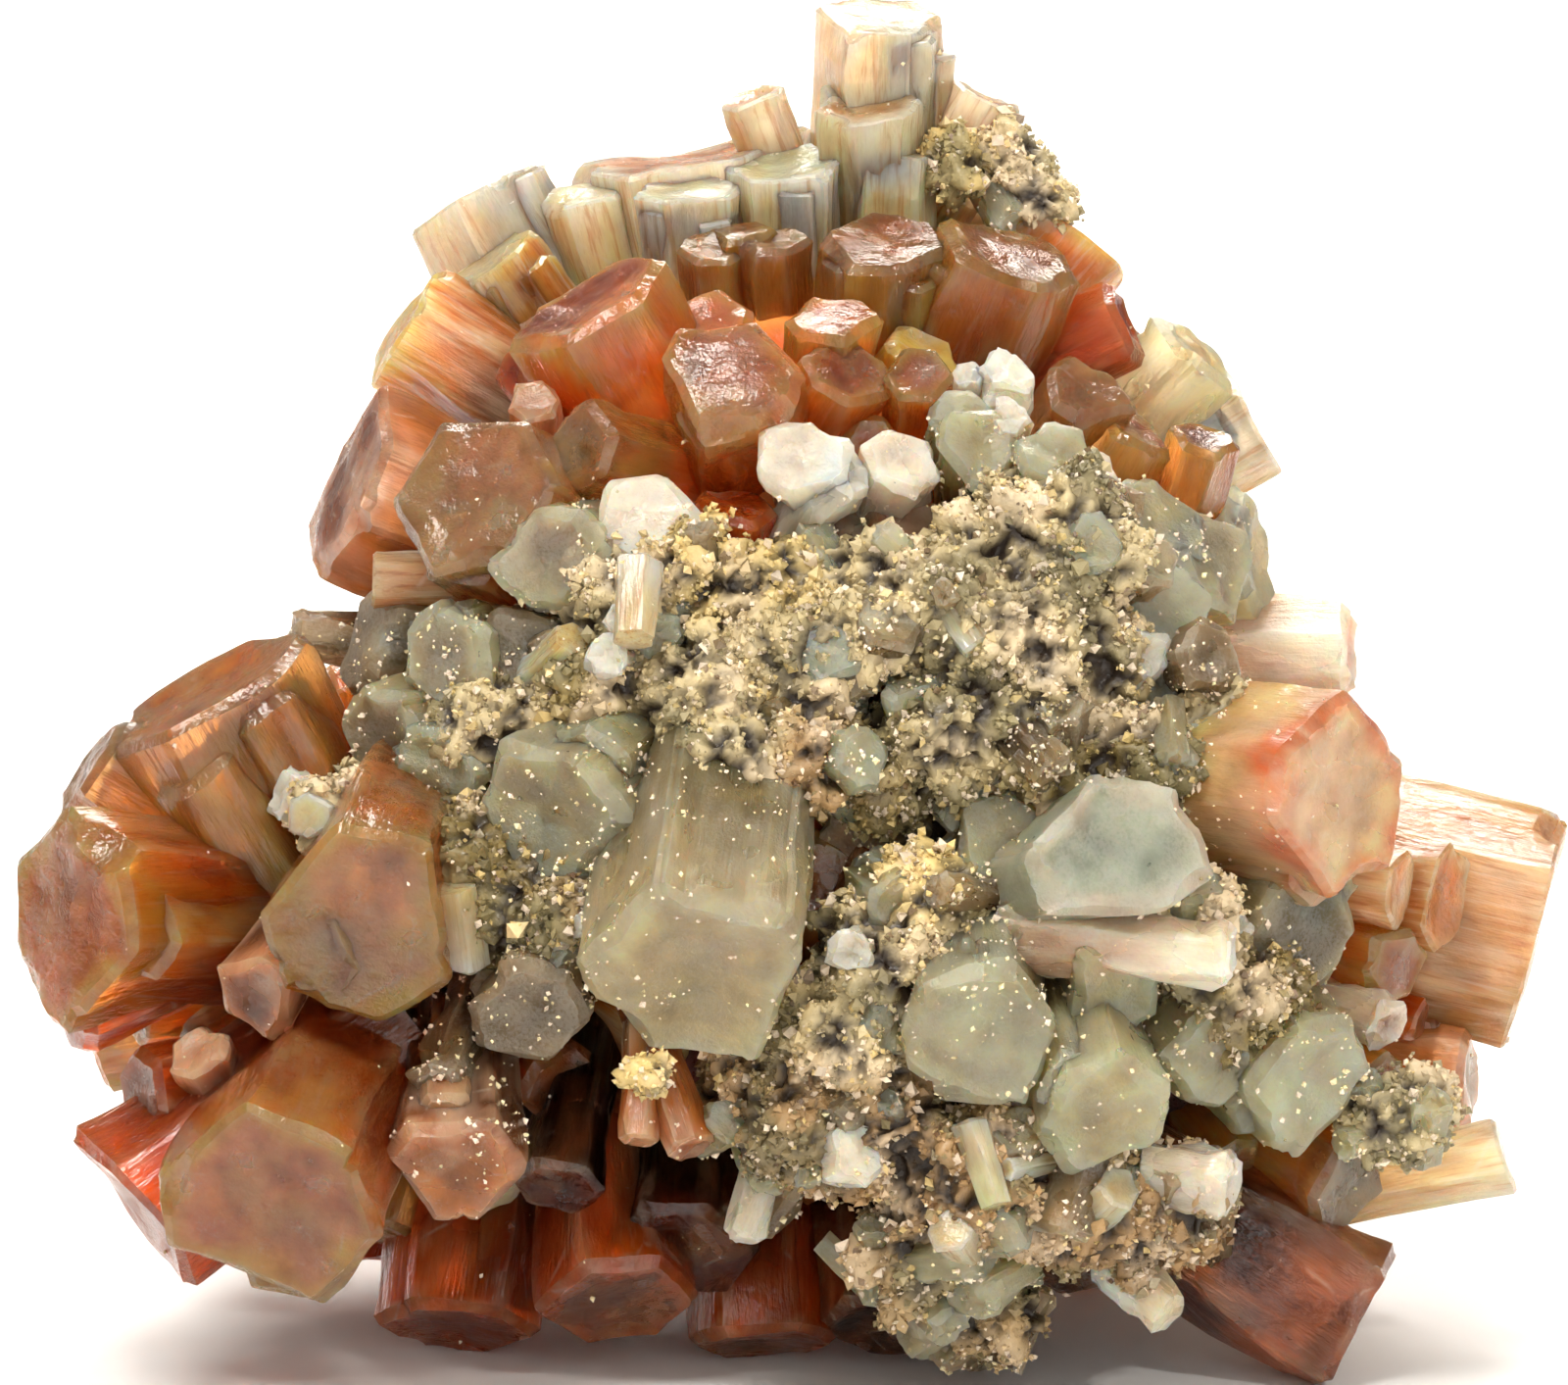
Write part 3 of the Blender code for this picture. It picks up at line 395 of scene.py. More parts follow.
# How many crumbs are tried on each group of crystals, and how far from the crust they reach
CRUMBS = {
    "sage": (80000, 2.2), "smoke": (34000, 2.2), "white": (6000, 1.2), "aqua": (2400, 0.8),
    "amber": (18000, 0.9), "rust": (16000, 1.2), "rose": (26000, 1.2), "cream": (16000, 1.0),
}


class Finish(NamedTuple):
    """How a piece lets light in and what lies under its skin."""

    transmission: float
    subsurface: float
    reach: float  # of the light under the skin, in mm
    rough: tuple  # of clear and of frosted skin
    streaks: float  # strength of the streaks along the crystal
    absorb: tuple  # colour that is left after the light is absorbed
    density: float
    cloud: tuple  # colour of the pale clouds inside
    slot: str


FINISHES = {
    "amber": Finish(0.80, 0.8, 2.2, (0.06, 0.34), 0.18, (1.0, 0.60, 0.34), 130.0,
                    (1.0, 0.62, 0.26), "amber_crystal"),
    "rust": Finish(0.74, 0.7, 1.8, (0.08, 0.38), 0.12, (1.0, 0.46, 0.22), 170.0,
                   (0.88, 0.34, 0.12), "amber_crystal"),
    "rose": Finish(0.55, 0.7, 1.8, (0.16, 0.45), 0.08, (1.0, 0.75, 0.62), 60.0,
                   (0.95, 0.66, 0.46), "rose_crystal"),
    "cream": Finish(0.48, 0.8, 2.4, (0.08, 0.36), 0.60, (1.0, 0.80, 0.60), 70.0,
                    (1.0, 0.84, 0.60), "cream_crystal"),
    "sage": Finish(0.68, 0.8, 2.2, (0.14, 0.46), 0.10, (0.96, 0.93, 0.74), 55.0,
                   (0.90, 0.84, 0.62), "sage_crystal"),
    "smoke": Finish(0.62, 0.6, 1.8, (0.14, 0.46), 0.08, (0.82, 0.72, 0.60), 100.0,
                    (0.62, 0.50, 0.34), "sage_crystal"),
    "white": Finish(0.30, 0.8, 1.6, (0.10, 0.40), 0.12, (0.98, 0.94, 0.92), 30.0,
                    (0.96, 0.90, 0.82), "white_crystal"),
    "aqua": Finish(0.55, 0.9, 2.6, (0.20, 0.48), 0.05, (0.86, 0.96, 0.88), 50.0,
                   (0.78, 0.84, 0.70), "sage_crystal"),
}
ARAGONITE_IOR = 1.53
SKIN_SCATTER = (1.0, 0.62, 0.36)  # how far each colour goes under the skin

# Colours of marks in the crystals, and the depth in mm of the relief on their skin and on the grains
DARK_STREAK = (0.62, 0.36, 0.20, 1.0)
PALE_STREAK = (0.95, 0.84, 0.66, 1.0)
CRACK_TONE = (0.98, 0.86, 0.70, 1.0)
MILK_TONE = (0.88, 0.84, 0.76, 1.0)
RIDGE_DEPTH = 0.12
WAVE_DEPTH = 0.3
PIT_DEPTH = 0.05
GRIT_DEPTH = 0.06

# Start of the random draws that place the smaller crystals, grains and crumbs
SEED = 7

# The studio
FLOOR_HALF = 2000.0  # half its width, in mm
FLOOR_TONE = (0.93, 0.93, 0.93, 1.0)
WARM = (1.0, 0.955, 0.89)  # colour of all light
KEY_WIDTH = math.radians(24.0)
KEY_POWER = 2.6
KEY_DIRECTION = Vector((0.14, 0.18, -0.42))
# Soft square lights: position and size in metres, and power
SOFT_LIGHTS = {
    "back": ((0.02, 0.26, 0.30), 0.20, 1.5),
    "fill": ((0.10, -0.45, 0.14), 0.30, 0.5),
    "glint": ((0.20, -0.28, 0.30), 0.04, 0.45),
}
LIGHT_AIM = Vector((0.0, 0.0, 0.02))
SURROUND = 0.46  # strength of the even light from all sides
SENSOR_WIDTH = 36.0


def linear(tone):
    """A tone's colour as linear light."""
    srgb = np.array(TONES[tone]) / 255.0
    return np.where(srgb <= 0.04045, srgb / 12.92, ((srgb + 0.055) / 1.055) ** 2.4)


def in_world(right, up, toward):
    """The world's x, y and z of something measured along the front view's axes."""
    y = up * math.sin(VIEW_ELEVATION) - toward * math.cos(VIEW_ELEVATION)
    z = up * math.cos(VIEW_ELEVATION) + toward * math.sin(VIEW_ELEVATION)
    return np.array((right, y, z))


def view_point(u, v, d):
    """World position, in millimetres, of a point seen at u, v in the front view, d towards the viewer."""
    shrink = 1.0 - d / VIEW_DISTANCE
    up = VIEW_CENTRE_V + (v - VIEW_CENTRE_V) * shrink
    return in_world(u * shrink - FOOTPRINT_CENTRE_X, up, d)


def view_direction(clock, lean):
    """World unit vector for a clock angle in the front view and a lean towards the viewer, in degrees."""
    turn = math.radians(clock)
    tilt = math.radians(lean)
    return in_world(math.cos(turn) * math.cos(tilt), math.sin(turn) * math.cos(tilt), math.sin(tilt))


def axis_frame(axis, clock):
    """Rows are the world directions of a crystal's own x, y and z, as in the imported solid."""
    side = view_direction(clock - 90.0, 0.0)
    side = side - axis * side.dot(axis)
    side /= np.linalg.norm(side)
    return np.array((side, np.cross(axis, side), axis))


def waves(points, size, rng):
    """Smooth unevenness between about -1 and 1, with features of a given size, at each point."""
    total = np.zeros(len(points))
    for _ in range(WAVE_COUNT):
        direction = rng.normal(size=3)
        direction *= math.tau / (size * np.linalg.norm(direction)) * rng.uniform(0.6, 1.6)
        total += np.sin(points @ direction + rng.uniform(0.0, math.tau))
    return total / WAVE_LEVEL


def smooth(low, high, value):
    """Goes gently from 0 to 1 as the value goes from low to high."""
    part = np.clip((value - low) / (high - low), 0.0, 1.0)
    return part * part * (3.0 - 2.0 * part)


def blend(first, second, share):
    """Goes from one colour to another, by a share for each point."""
    return first + (second - first) * np.asarray(share)[..., None]


def outline(across, roll, surface, detail, rng):
    """Points round a crystal: an uneven hexagon with eased corners, grooves, steps and notches.

    Also gives 1 for the points at its corners and 0 for the others.
    """
    steps = np.array(detail["steps"])
    normals = math.radians(roll + 30.0) + np.arange(SIDES) * math.tau / SIDES
    normals = normals + rng.normal(0.0, math.radians(5.0), SIDES)
    reach = across / 2.0 * (1.0 + rng.uniform(-0.20, 0.10, SIDES))
    corners = []
    for side in range(SIDES):
        pair = [side, (side + 1) % SIDES]
        rows = np.column_stack((np.cos(normals[pair]), np.sin(normals[pair])))
        corners.append(np.linalg.solve(rows, reach[pair]))
    ring = []
    for side in range(SIDES):
        start, end = corners[side - 1], corners[side]
        step_at = rng.uniform(0.25, 0.75)
        step_in = 1.0 - surface["step"] * rng.uniform(0.2, 1.0)
        for step in steps:
            inset = step_in if step > step_at else 1.0
            ring.append((start + (end - start) * step) * inset)
    ring = np.array(ring)
    angle = np.arctan2(ring[:, 1], ring[:, 0])
    facing = np.clip(np.cos(angle[:, None] - normals[None, :]), 1e-6, None) / reach[None, :]
    power = surface["corner"]
    eased = (facing ** power).sum(axis=1) ** (-1.0 / power)
    radius = np.minimum(np.linalg.norm(ring, axis=1), eased)
    radius *= 1.0 - surface["groove"] * np.abs(rng.normal(0.0, 1.0, len(angle)))
    for _ in range(rng.integers(1, 4)):
        away = np.abs((angle - rng.uniform(0.0, math.tau) + math.pi) % math.tau - math.pi)
        radius *= 1.0 - rng.uniform(0.02, 0.10) * np.clip(1.0 - away / rng.uniform(0.06, 0.16), 0.0, 1.0)
    corner = np.tile(np.abs(steps - 0.5) > 0.4, SIDES).astype(float)
    return np.column_stack((radius * np.cos(angle), radius * np.sin(angle))), corner


def chip(points, across, count, rng):
    """Breaks shell-shaped chips out of the rim, by pushing the points out of balls set on it."""
    for _ in range(count):
        turn = rng.uniform(0.0, math.tau)
        size = across * rng.uniform(0.10, 0.34)
        bite = size * rng.uniform(0.15, 0.45)
        out = across * 0.52 + (size - bite) * 0.7
        middle = np.array((out * math.cos(turn), out * math.sin(turn), (size - bite) * 0.7))
        away = points - middle
        distance = np.linalg.norm(away, axis=-1, keepdims=True)
        points = np.where(distance < size, middle + away / np.maximum(distance, 1e-6) * size, points)
    return points


def crystal_points(across, length, roll, surface, detail, rng):
    """Local points of a crystal, from its root to the middle of its end face.

    Also gives each point's share of end face, of edge, and its distance from the middle of the end.
    """
    bevel = min(surface["bevel"], across * BEVEL_LIMIT)
    base, corner = outline(across, roll, surface, detail, rng)
    ones = np.ones(len(base))
    top = base @ rng.normal(0.0, END_SLOPE, 2)
    side_rows = detail["rows"]
    rows = []
    for part in 1.0 - (1.0 - np.linspace(0.0, 1.0, side_rows)) ** ROW_EASING:
        scale = ROOT_SCALE + (1.0 - ROOT_SCALE) * part
        row = np.column_stack((base * scale, -length + (length - bevel + top) * part))
        rows.append((row, 0.0, corner if part < 1.0 else ones, 1.0))
    inner = 1.0 - bevel / np.linalg.norm(base, axis=1)[:, None]
    rows.append((np.column_stack((base * (1.0 + inner * 3.0) / 4.0, top - bevel * 0.30)), 0.5, ones, 1.0))
    rows.append((np.column_stack((base * inner, top)), 1.0, 0.6 * ones, 0.97))
    hollow = surface["dish"] * across * rng.uniform(-0.3, 1.0)
    terrace = rng.uniform(0.3, 0.9)
    for ring in detail["rings"]:
        height = top * ring - hollow * (1.0 - ring * ring) - TERRACE * across * (ring < terrace)
        rows.append((np.column_stack((base * inner * ring, height)), 1.0, 0.0 * ones, ring))
    rows, cap, edge, out = zip(*rows)
    points = np.array(rows)
    flat = points.reshape(-1, 3)
    swell = waves(flat, across * 0.5, rng) + 0.3 * waves(flat, across * 0.2, rng)
    swell = (surface["bump"] * swell).reshape(points.shape[:2])
    points[:side_rows, :, :2] *= 1.0 + swell[:side_rows, :, None] * 2.0 / across
    points[side_rows + 1:, :, 2] += swell[side_rows + 1:]
    points = chip(points, across, surface["chips"], rng)
    for axis in range(3):
        points[:, :, axis] += WARP * across * waves(flat, across * 1.2, rng).reshape(points.shape[:2])
    count = len(base)
    everything = np.vstack(((0.0, 0.0, -length), points.reshape(-1, 3), points[-1].mean(axis=0)))
    return (everything, np.hstack((0.0, np.repeat(cap, count), 1.0)), np.hstack((0.0, *edge, 0.0)),
            np.hstack((1.0, np.repeat(out, count), 0.0)))


def crystal_faces(detail):
    """Faces over the points of crystal_points."""
    columns = SIDES * len(detail["steps"])
    row_count = detail["rows"] + 2 + len(detail["rings"])
    last = 1 + (row_count - 1) * columns
    faces = []
    for column in range(columns):
        after = (column + 1) % columns
        faces.append((0, 1 + after, 1 + column))
        for row in range(row_count - 1):
            low = 1 + row * columns
            high = low + columns
            faces.append((low + column, low + after, high + after, high + column))
        faces.append((last + column, last + after, last + columns))
    return faces


def detail_for(across):
    """How finely a crystal of some width is cut."""
    if across >= FINE_ABOVE:
        return FINE
    return COARSE if across >= SMALL_BELOW else SMALL


class Piece:
    """Points, faces and point values gathered for one named piece."""

    def __init__(self):
        self.points = []
        self.faces = []
        self.tints = []
        self.locals = []
        self.skins = []
        self.count = 0

    def add(self, points, faces, tints, local, skin):
        """Adds one closed shape, or a group of them."""
        self.points.append(points)
        self.faces += [tuple(index + self.count for index in face) for face in faces]
        self.tints.append(tints)
        self.locals.append(local)
        self.skins.append(skin)
        self.count += len(points)


def crystal_tints(points, cap, edge, out, kind, end_tone, rng):
    """Colour of each point: tip, side and root along the sides, a clouded end face with painted glow at
    its rim and painted shade in its middle, and pale edges that are painted highlights.
    """
    tip, side, root = linear(kind.tip), linear(kind.side), linear(kind.root)
    side = side + (tip - side) * rng.uniform(0.0, 0.5) * (rng.uniform() < 0.5)
    root = root + (side - root) * rng.uniform(0.0, 0.3)
    depth = -points[:, 2] + 0.8 * waves(points * np.array((1.0, 1.0, 0.3)), 2.4, rng)
    start = kind.fade * rng.uniform(0.15, 0.40)
    colour = blend(tip, side, smooth(0.0, start, depth))
    colour = blend(colour, root, smooth(start, kind.fade * rng.uniform(0.8, 1.2), depth))
    cloud = waves(points, 2.0, rng)
    end = blend(linear(end_tone), side, 0.35 * smooth(0.0, 0.9, cloud))
    # Paler towards the rim of the end face: painted glow; darker in its middle: painted shade.
    end = blend(end, tip, 0.7 * smooth(0.70, 1.0, out + 0.10 * cloud))
    end = end * (1.0 - rng.uniform(0.0, 0.30) * (1.0 - smooth(0.1, 0.85, out)))[:, None]
    colour = blend(colour, end, cap)
    # Pale edges along the corners and round the end: painted highlight, in a pale tone mixed with the
    # tip's.
    rim = edge * smooth(-0.7, 0.7, waves(points, 1.1, rng))
    colour = blend(colour, (linear("pale_frost_and_highlight") + tip) / 2.0, 0.50 * rim)
    shade = 1.0 + 0.14 * waves(points, 1.4, rng) + rng.uniform(-0.16, 0.10)
    return np.clip(colour * shade[:, None], 0.0, 1.0)


class Crystals:
    """The crystals, gathered into one piece for each kind, and the space that each one fills."""

    def __init__(self):
        self.pieces = {}
        self.shapes = []

    def add(self, tip, rotation, across, length, roll, kind_name, end_tone):
        """Makes one crystal and adds it to the piece of its kind."""
        rng = np.random.default_rng(len(self.shapes) + 1)
        kind = KINDS[kind_name]
        surface = SURFACES[kind.surface]
        detail = detail_for(across)
        local, cap, edge, out = crystal_points(across, length, roll, surface, detail, rng)
        tints = crystal_tints(local, cap, edge, out, kind, end_tone, rng)
        frost = np.clip(surface["frost"] + 0.25 * cap + 0.25 * waves(local, 1.5, rng), 0.0, 1.0)
        skin = np.column_stack((cap, frost, np.full(len(local), rng.uniform())))
        placed = local @ rotation + tip
        shifted = local + rng.uniform(0.0, 60.0, 3)
        piece = self.pieces.setdefault(kind.group, Piece())
        piece.add(placed, crystal_faces(detail), tints, shifted, skin)
        self.shapes.append((tip, rotation, across, length))

    def buried(self, points, margin):
        """True for the points that lie inside a crystal, by more than a margin."""
        hidden = np.zeros(len(points), bool)
        for tip, rotation, across, length in self.shapes:
            local = (points - tip) @ rotation.T
            radius = np.hypot(local[:, 0], local[:, 1])
            inside = (local[:, 2] < -margin) & (local[:, 2] > -length)
            hidden |= inside & (radius < across * INSIDE - margin)
        return hidden


def add_companion(crystals, tip, rotation, across, length, roll, kind, end_tone, rng):
    """A thinner crystal grown along the side of another, ending a step lower."""
    turn = rng.uniform(0.0, math.tau)
    aside = rotation[0] * math.cos(turn) + rotation[1] * math.sin(turn)
    place = tip + aside * across * rng.uniform(0.24, 0.34) - rotation[2] * rng.uniform(0.15, 1.3)
    width = across * rng.uniform(0.42, 0.62)
    turned = roll + rng.uniform(-12.0, 12.0)
    crystals.add(place, rotation, width, length * 0.8, turned, kind, end_tone)


def grow_front(crystals, rng):
    """The crystals that the photo shows, the wider ones with up to two companions."""
    for name, u, v, d, clock, lean, across, length, kind, end_tone in CRYSTALS:
        roll = ROLLS.get(name, 0)
        rotation = axis_frame(view_direction(clock, lean), clock)
        tip = view_point(u, v, d)
        crystals.add(tip, rotation, across, length, roll, kind, end_tone)
        if across > COMPANION_ABOVE:
            for _ in range(rng.integers(0, 3)):
                add_companion(crystals, tip, rotation, across, length, roll, kind, end_tone, rng)


def grow_back(crystals):
    """The crystals of the hidden sides, in fans on the nuclei."""
    for nucleus, fan in BACK_FANS.items():
        centre = view_point(*NUCLEI[nucleus][0])
        for clock, lean, across, reach, roll, kind, end_tone in fan:
            axis = view_direction(clock, lean)
            tip = centre + axis * reach
            crystals.add(tip, axis_frame(axis, clock), across, reach - BACK_ROOT, roll, kind, end_tone)


def grow_feet(crystals):
    """The crystals that the cluster stands on."""
    for x, y, across, direction, tilt, kind in FEET:
        turn, lean = math.radians(direction), math.radians(tilt)
        flat = math.sin(lean)
        axis = Vector((math.cos(turn) * flat, math.sin(turn) * flat, -math.cos(lean)))
        rotation = np.array(axis.to_track_quat("Z", "X").to_matrix().transposed())
        tip = np.array((x, y, 0.0)) + np.array(axis) * FOOT_SINK * (tilt > 0)
        crystals.add(tip, rotation, across, FOOT_LENGTH, 0.0, kind, kind)


def linked(name, data):
    """A new object in the scene for a mesh, a light or a camera."""
    made = bpy.data.objects.new(name, data)
    bpy.context.scene.collection.objects.link(made)
    return made


def new_mesh(name, points, faces):
    """A mesh from points in millimetres."""
    mesh = bpy.data.meshes.new(name)
    mesh.from_pydata((points * MM).tolist(), [], faces)
    return mesh


def mesh_object(name, piece):
    """A shaded object from a gathered piece, with its colours and other values on its points."""
    points = np.vstack(piece.points)
    points[:, 2] = np.maximum(points[:, 2], 0.0)
    mesh = new_mesh(name, points, piece.faces)
    put_values(mesh, np.vstack(piece.tints), np.vstack(piece.locals), np.vstack(piece.skins))
    mesh.shade_smooth()
    mesh.set_sharp_from_angle(angle=SHARP_ANGLE)
    return linked(name, mesh)


def put_values(mesh, tints, local, skin):
    """Stores the values that the materials read: a colour, a place along the crystal, and the skin."""
    tint = mesh.attributes.new("tint", "FLOAT_COLOR", "POINT")
    colours = np.column_stack((tints, np.ones(len(tints))))
    tint.data.foreach_set("color", colours.astype(np.float32).ravel())
    for name, values in (("local", local), ("skin", skin)):
        stored = mesh.attributes.new(name, "FLOAT_VECTOR", "POINT")
        stored.data.foreach_set("vector", values.astype(np.float32).ravel())


def icosphere(subdivisions):
    """Points and faces of a unit ball of small triangles."""
    bm = bmesh.new()
    bmesh.ops.create_icosphere(bm, subdivisions=subdivisions, radius=1.0)
    points = np.array([tuple(vert.co) for vert in bm.verts])
    faces = [tuple(vert.index for vert in face.verts) for face in bm.faces]
    bm.free()
    return points, faces


def lumpy_balls(balls, roughness):
    """Points and faces of uneven balls, each given by its centre and its three radii."""
    ball, ball_faces = icosphere(BALL_DETAIL)
    points, faces = [], []
    for number, (centre, radii) in enumerate(balls):
        for direction in ball:
            place = Vector(centre + direction * radii)
            swell = noise.noise(place * 0.5) + 0.7 * noise.noise(place * 1.3)
            points.append(centre + direction * radii * (1.0 + roughness * swell))
        faces += [tuple(index + number * len(ball) for index in face) for face in ball_faces]
    return np.array(points), faces


def melted(name, points, faces, voxel):
    """An object whose overlapping shapes are melted into one closed skin."""
    made = linked(name, new_mesh(name, points, faces))
    melt = made.modifiers.new("melt", "REMESH")
    melt.mode = "VOXEL"
    melt.voxel_size = voxel * MM
    depsgraph = bpy.context.evaluated_depsgraph_get()
    skin = bpy.data.meshes.new_from_object(made.evaluated_get(depsgraph))
    made.modifiers.clear()
    made.data = skin
    return made


def points_and_normals(mesh):
    """A mesh's points, in millimetres, and its normals."""
    values = []
    for name in ("co", "normal"):
        found = np.empty(len(mesh.vertices) * 3, np.float32)
        mesh.vertices.foreach_get(name, found)
        values.append(found.reshape(-1, 3).astype(float))
    return values[0] / MM, values[1]


def crumble(made, coarse, middle, fine):
    """Roughens a skin with bumps of three sizes, of some height in mm; gives each point's height."""
    points, normals = points_and_normals(made.data)
    height = np.empty(len(points))
    for index, point in enumerate(points):
        wide, mid, tight = (noise.noise(Vector(point) * scale) for scale in BUMP_SCALES)
        height[index] = coarse * wide + middle * mid + fine * (abs(tight) - 0.2)
    points += normals * height[:, None]
    points[:, 2] = np.maximum(points[:, 2], 0.0)
    made.data.vertices.foreach_set("co", (points * MM).astype(np.float32).ravel())
    made.data.shade_smooth()
    made.data.update()
    return height


def crumbly(name, balls, unevenness, voxel, bumps):
    """A mass of uneven balls with a rough skin, its points, and how high each one stands."""
    mass = melted(name, *lumpy_balls(balls, unevenness), voxel)
    height = crumble(mass, *bumps)
    return mass, points_and_normals(mass.data)[0], height


def build_core():
    """The mass inside, dark below and amber above, which shows in the gaps and through the crystals."""
    balls = []
    for centre, (wide, high, deep) in NUCLEI.values():
        balls.append((view_point(*centre), np.array((wide, deep, high)) * CORE_SHRINK))
    core, points, height = crumbly("core", balls, CORE_UNEVEN, CORE_VOXEL, CORE_BUMPS)
    # Ember and deep rust below, orange and honey above; in both, darker in the hollows of the skin:
    # painted shade.
    low = blend(linear("ember"), linear("deep_rust"), smooth(-0.2, 0.4, height))
    high = blend(linear("orange"), linear("honey"), smooth(-0.2, 0.4, height))
    tints = blend(low, high, smooth(9.0, 20.0, points[:, 2]))
    put_values(core.data, tints, points, np.zeros((len(points), 3)))
    return core


def gap_to_spots(points, spots):
    """How far each point is from the nearest of some spots: rows that begin with u, v, d and radius."""
    centres = np.array([view_point(*row[:3]) for row in spots])
    radii = np.array([row[3] for row in spots])
    return (np.linalg.norm(points[:, None] - centres, axis=2) - radii).min(axis=1)


def spaced_picks(points, candidates, spacing, count, rng):
    """Goes through shuffled candidates and gives those that stand apart, up to a count."""
    placed = []
    for index in rng.permutation(candidates):
        if all(np.linalg.norm(points[index] - other) > spacing for other in placed):
            placed.append(points[index])
            yield index
        if len(placed) == count:
            return


def crust_tints(points, height):
    """Colour of the crust: the tone of the nearest lumps, and painted shade in its hollows."""
    centres = np.array([view_point(*row[:3]) for row in CRUST])
    radii = np.array([row[3] for row in CRUST])
    tones = np.array([linear(row[4]) for row in CRUST])
    away = np.linalg.norm(points[:, None] - centres, axis=2) / radii
    weight = np.exp(-6.0 * away)
    colour = (weight[:, :, None] * tones).sum(axis=1) / weight.sum(axis=1)[:, None]
    patch = np.array([noise.noise(Vector(point) * 0.42) for point in points])
    colour = blend(colour, linear("moss"), 0.75 * smooth(0.02, 0.35, patch))
    colour = blend(colour, linear("pale_frost_and_highlight"), 0.55 * smooth(0.08, 0.35, -patch))
    # Near black in the hollows: painted shade.
    return blend(linear("hollow_shade"), colour, smooth(-0.28, 0.16, height))


def build_crust():
    """The crumbly crust between the crystals of the front."""
    balls = [(view_point(*row[:3]), CRUST_SQUASH * row[3]) for row in CRUST]
    crust, points, height = crumbly("crust", balls, CRUST_UNEVEN, CRUST_VOXEL, CRUST_BUMPS)
    tints = crust_tints(points, height)
    put_values(crust.data, tints, points, np.zeros((len(points), 3)))
    return crust, height, tints


def grow_fillers(crystals, core, rng):
    """Smaller crystals where the core would show between the large ones, shorter at the outline."""
    points, normals = points_and_normals(core.data)
    from_crust, from_crystals, from_ground = FILLER_GAPS
    clear_of_crust = gap_to_spots(points, CRUST) > from_crust
    open_air = ~crystals.buried(points + normals * from_crystals, 0.0)
    bare = np.flatnonzero(clear_of_crust & open_air & (points[:, 2] > from_ground))
    centres = np.array([view_point(*nucleus[0]) for nucleus in NUCLEI.values()])
    for index in spaced_picks(points, bare, FILLER_SPACING, FILLER_COUNT, rng):
        point = points[index]
        nearest = centres[np.linalg.norm(centres - point, axis=1).argmin()]
        outward = (point - nearest) / np.linalg.norm(point - nearest)
        axis = outward + 0.4 * normals[index] + rng.normal(0.0, 0.16, 3)
        axis /= np.linalg.norm(axis)
        kind, end_tone = FILLER_KINDS[rng.integers(len(FILLER_KINDS))]
        off_outline = min(abs(outward.dot(view_direction(0.0, 90.0))) / 0.5, 1.0)
        stand = rng.uniform(*FILLER_STAND) * (0.45 + 0.55 * off_outline)
        across = rng.uniform(*FILLER_ACROSS)
        clock = rng.uniform(0.0, 360.0)
        tip = point + axis * stand
        crystals.add(tip, axis_frame(axis, clock), across, stand + FILLER_ROOT, clock, kind, end_tone)


def grow_small_ends(crystals, crust, height, rng):
    """Small crystals half sunk in the crust, pointing away from it."""
    points, normals = points_and_normals(crust.data)
    proud = np.flatnonzero(~crystals.buried(points, 0.0) & (height > -0.1))
    for index in spaced_picks(points, proud, SMALL_END_SPACING, SMALL_END_COUNT, rng):
        axis = normals[index] + rng.normal(0.0, 0.45, 3) + 0.5 * view_direction(90.0, 60.0)
        axis /= np.linalg.norm(axis)
        kind, end_tone = SMALL_END_KINDS[rng.integers(len(SMALL_END_KINDS))]
        across = rng.uniform(*SMALL_END_ACROSS)
        tip = points[index] + axis * rng.uniform(0.0, 0.5)
        clock = rng.uniform(0.0, 360.0)
        crystals.add(tip, axis_frame(axis, clock), across, SMALL_END_LENGTH, clock, kind, end_tone)


def random_turns(count, rng):
    """Random rotations."""
    turns = np.linalg.qr(rng.normal(size=(count, 3, 3)))[0]
    turns[:, :, 0] *= np.linalg.det(turns)[:, None]
    return turns


def grain_piece(places, normals, colours, radii, rng):
    """Small uneven grains stuck on a surface."""
    count = len(places)
    shape = GRAIN_CORNERS[None] * rng.uniform(0.7, 1.4, (count, 1, 3))
    shape = shape * (1.0 + rng.uniform(-0.3, 0.3, (count, len(GRAIN_CORNERS), 1)))
    shape = np.einsum("nij,njk->nik", shape, random_turns(count, rng)) * radii[:, None, None]
    points = (shape + (places + normals * radii[:, None] * 0.3)[:, None]).reshape(-1, 3)
    colours = np.clip(colours * rng.uniform(0.80, 1.20, (count, 1)), 0.0, 1.0)
    tints = np.repeat(colours, len(GRAIN_CORNERS), axis=0)
    starts = np.arange(count)[:, None, None] * len(GRAIN_CORNERS)
    all_faces = (GRAIN_FACES[None] + starts).reshape(-1, 3).tolist()
    piece = Piece()
    piece.add(points, all_faces, tints, points, np.full((len(points), 3), 0.5))
    return piece


def crust_grains(crystals, crust, height, tints, rng):
    """Grains on the parts of the crust that stand proud and aren't inside a crystal."""
    points, normals = points_and_normals(crust.data)
    open_air = ~crystals.buried(points, 0.05)
    keep = open_air & (rng.uniform(size=len(points)) < smooth(-0.20, 0.20, height))
    chosen = rng.choice(np.flatnonzero(keep), GRAIN_COUNT)
    places = points[chosen] + rng.normal(0.0, GRAIN_STRAY, (GRAIN_COUNT, 3))
    colours = tints[chosen]
    for tone, share in GRAIN_TONES:
        swap = rng.uniform(size=GRAIN_COUNT) < share
        colours[swap] = blend(colours[swap], linear(tone), np.full(swap.sum(), 0.7))
    radii = GRAIN_RADIUS * np.exp(rng.normal(0.0, GRAIN_SPREAD, GRAIN_COUNT))
    return grain_piece(places, normals[chosen], colours, radii, rng)


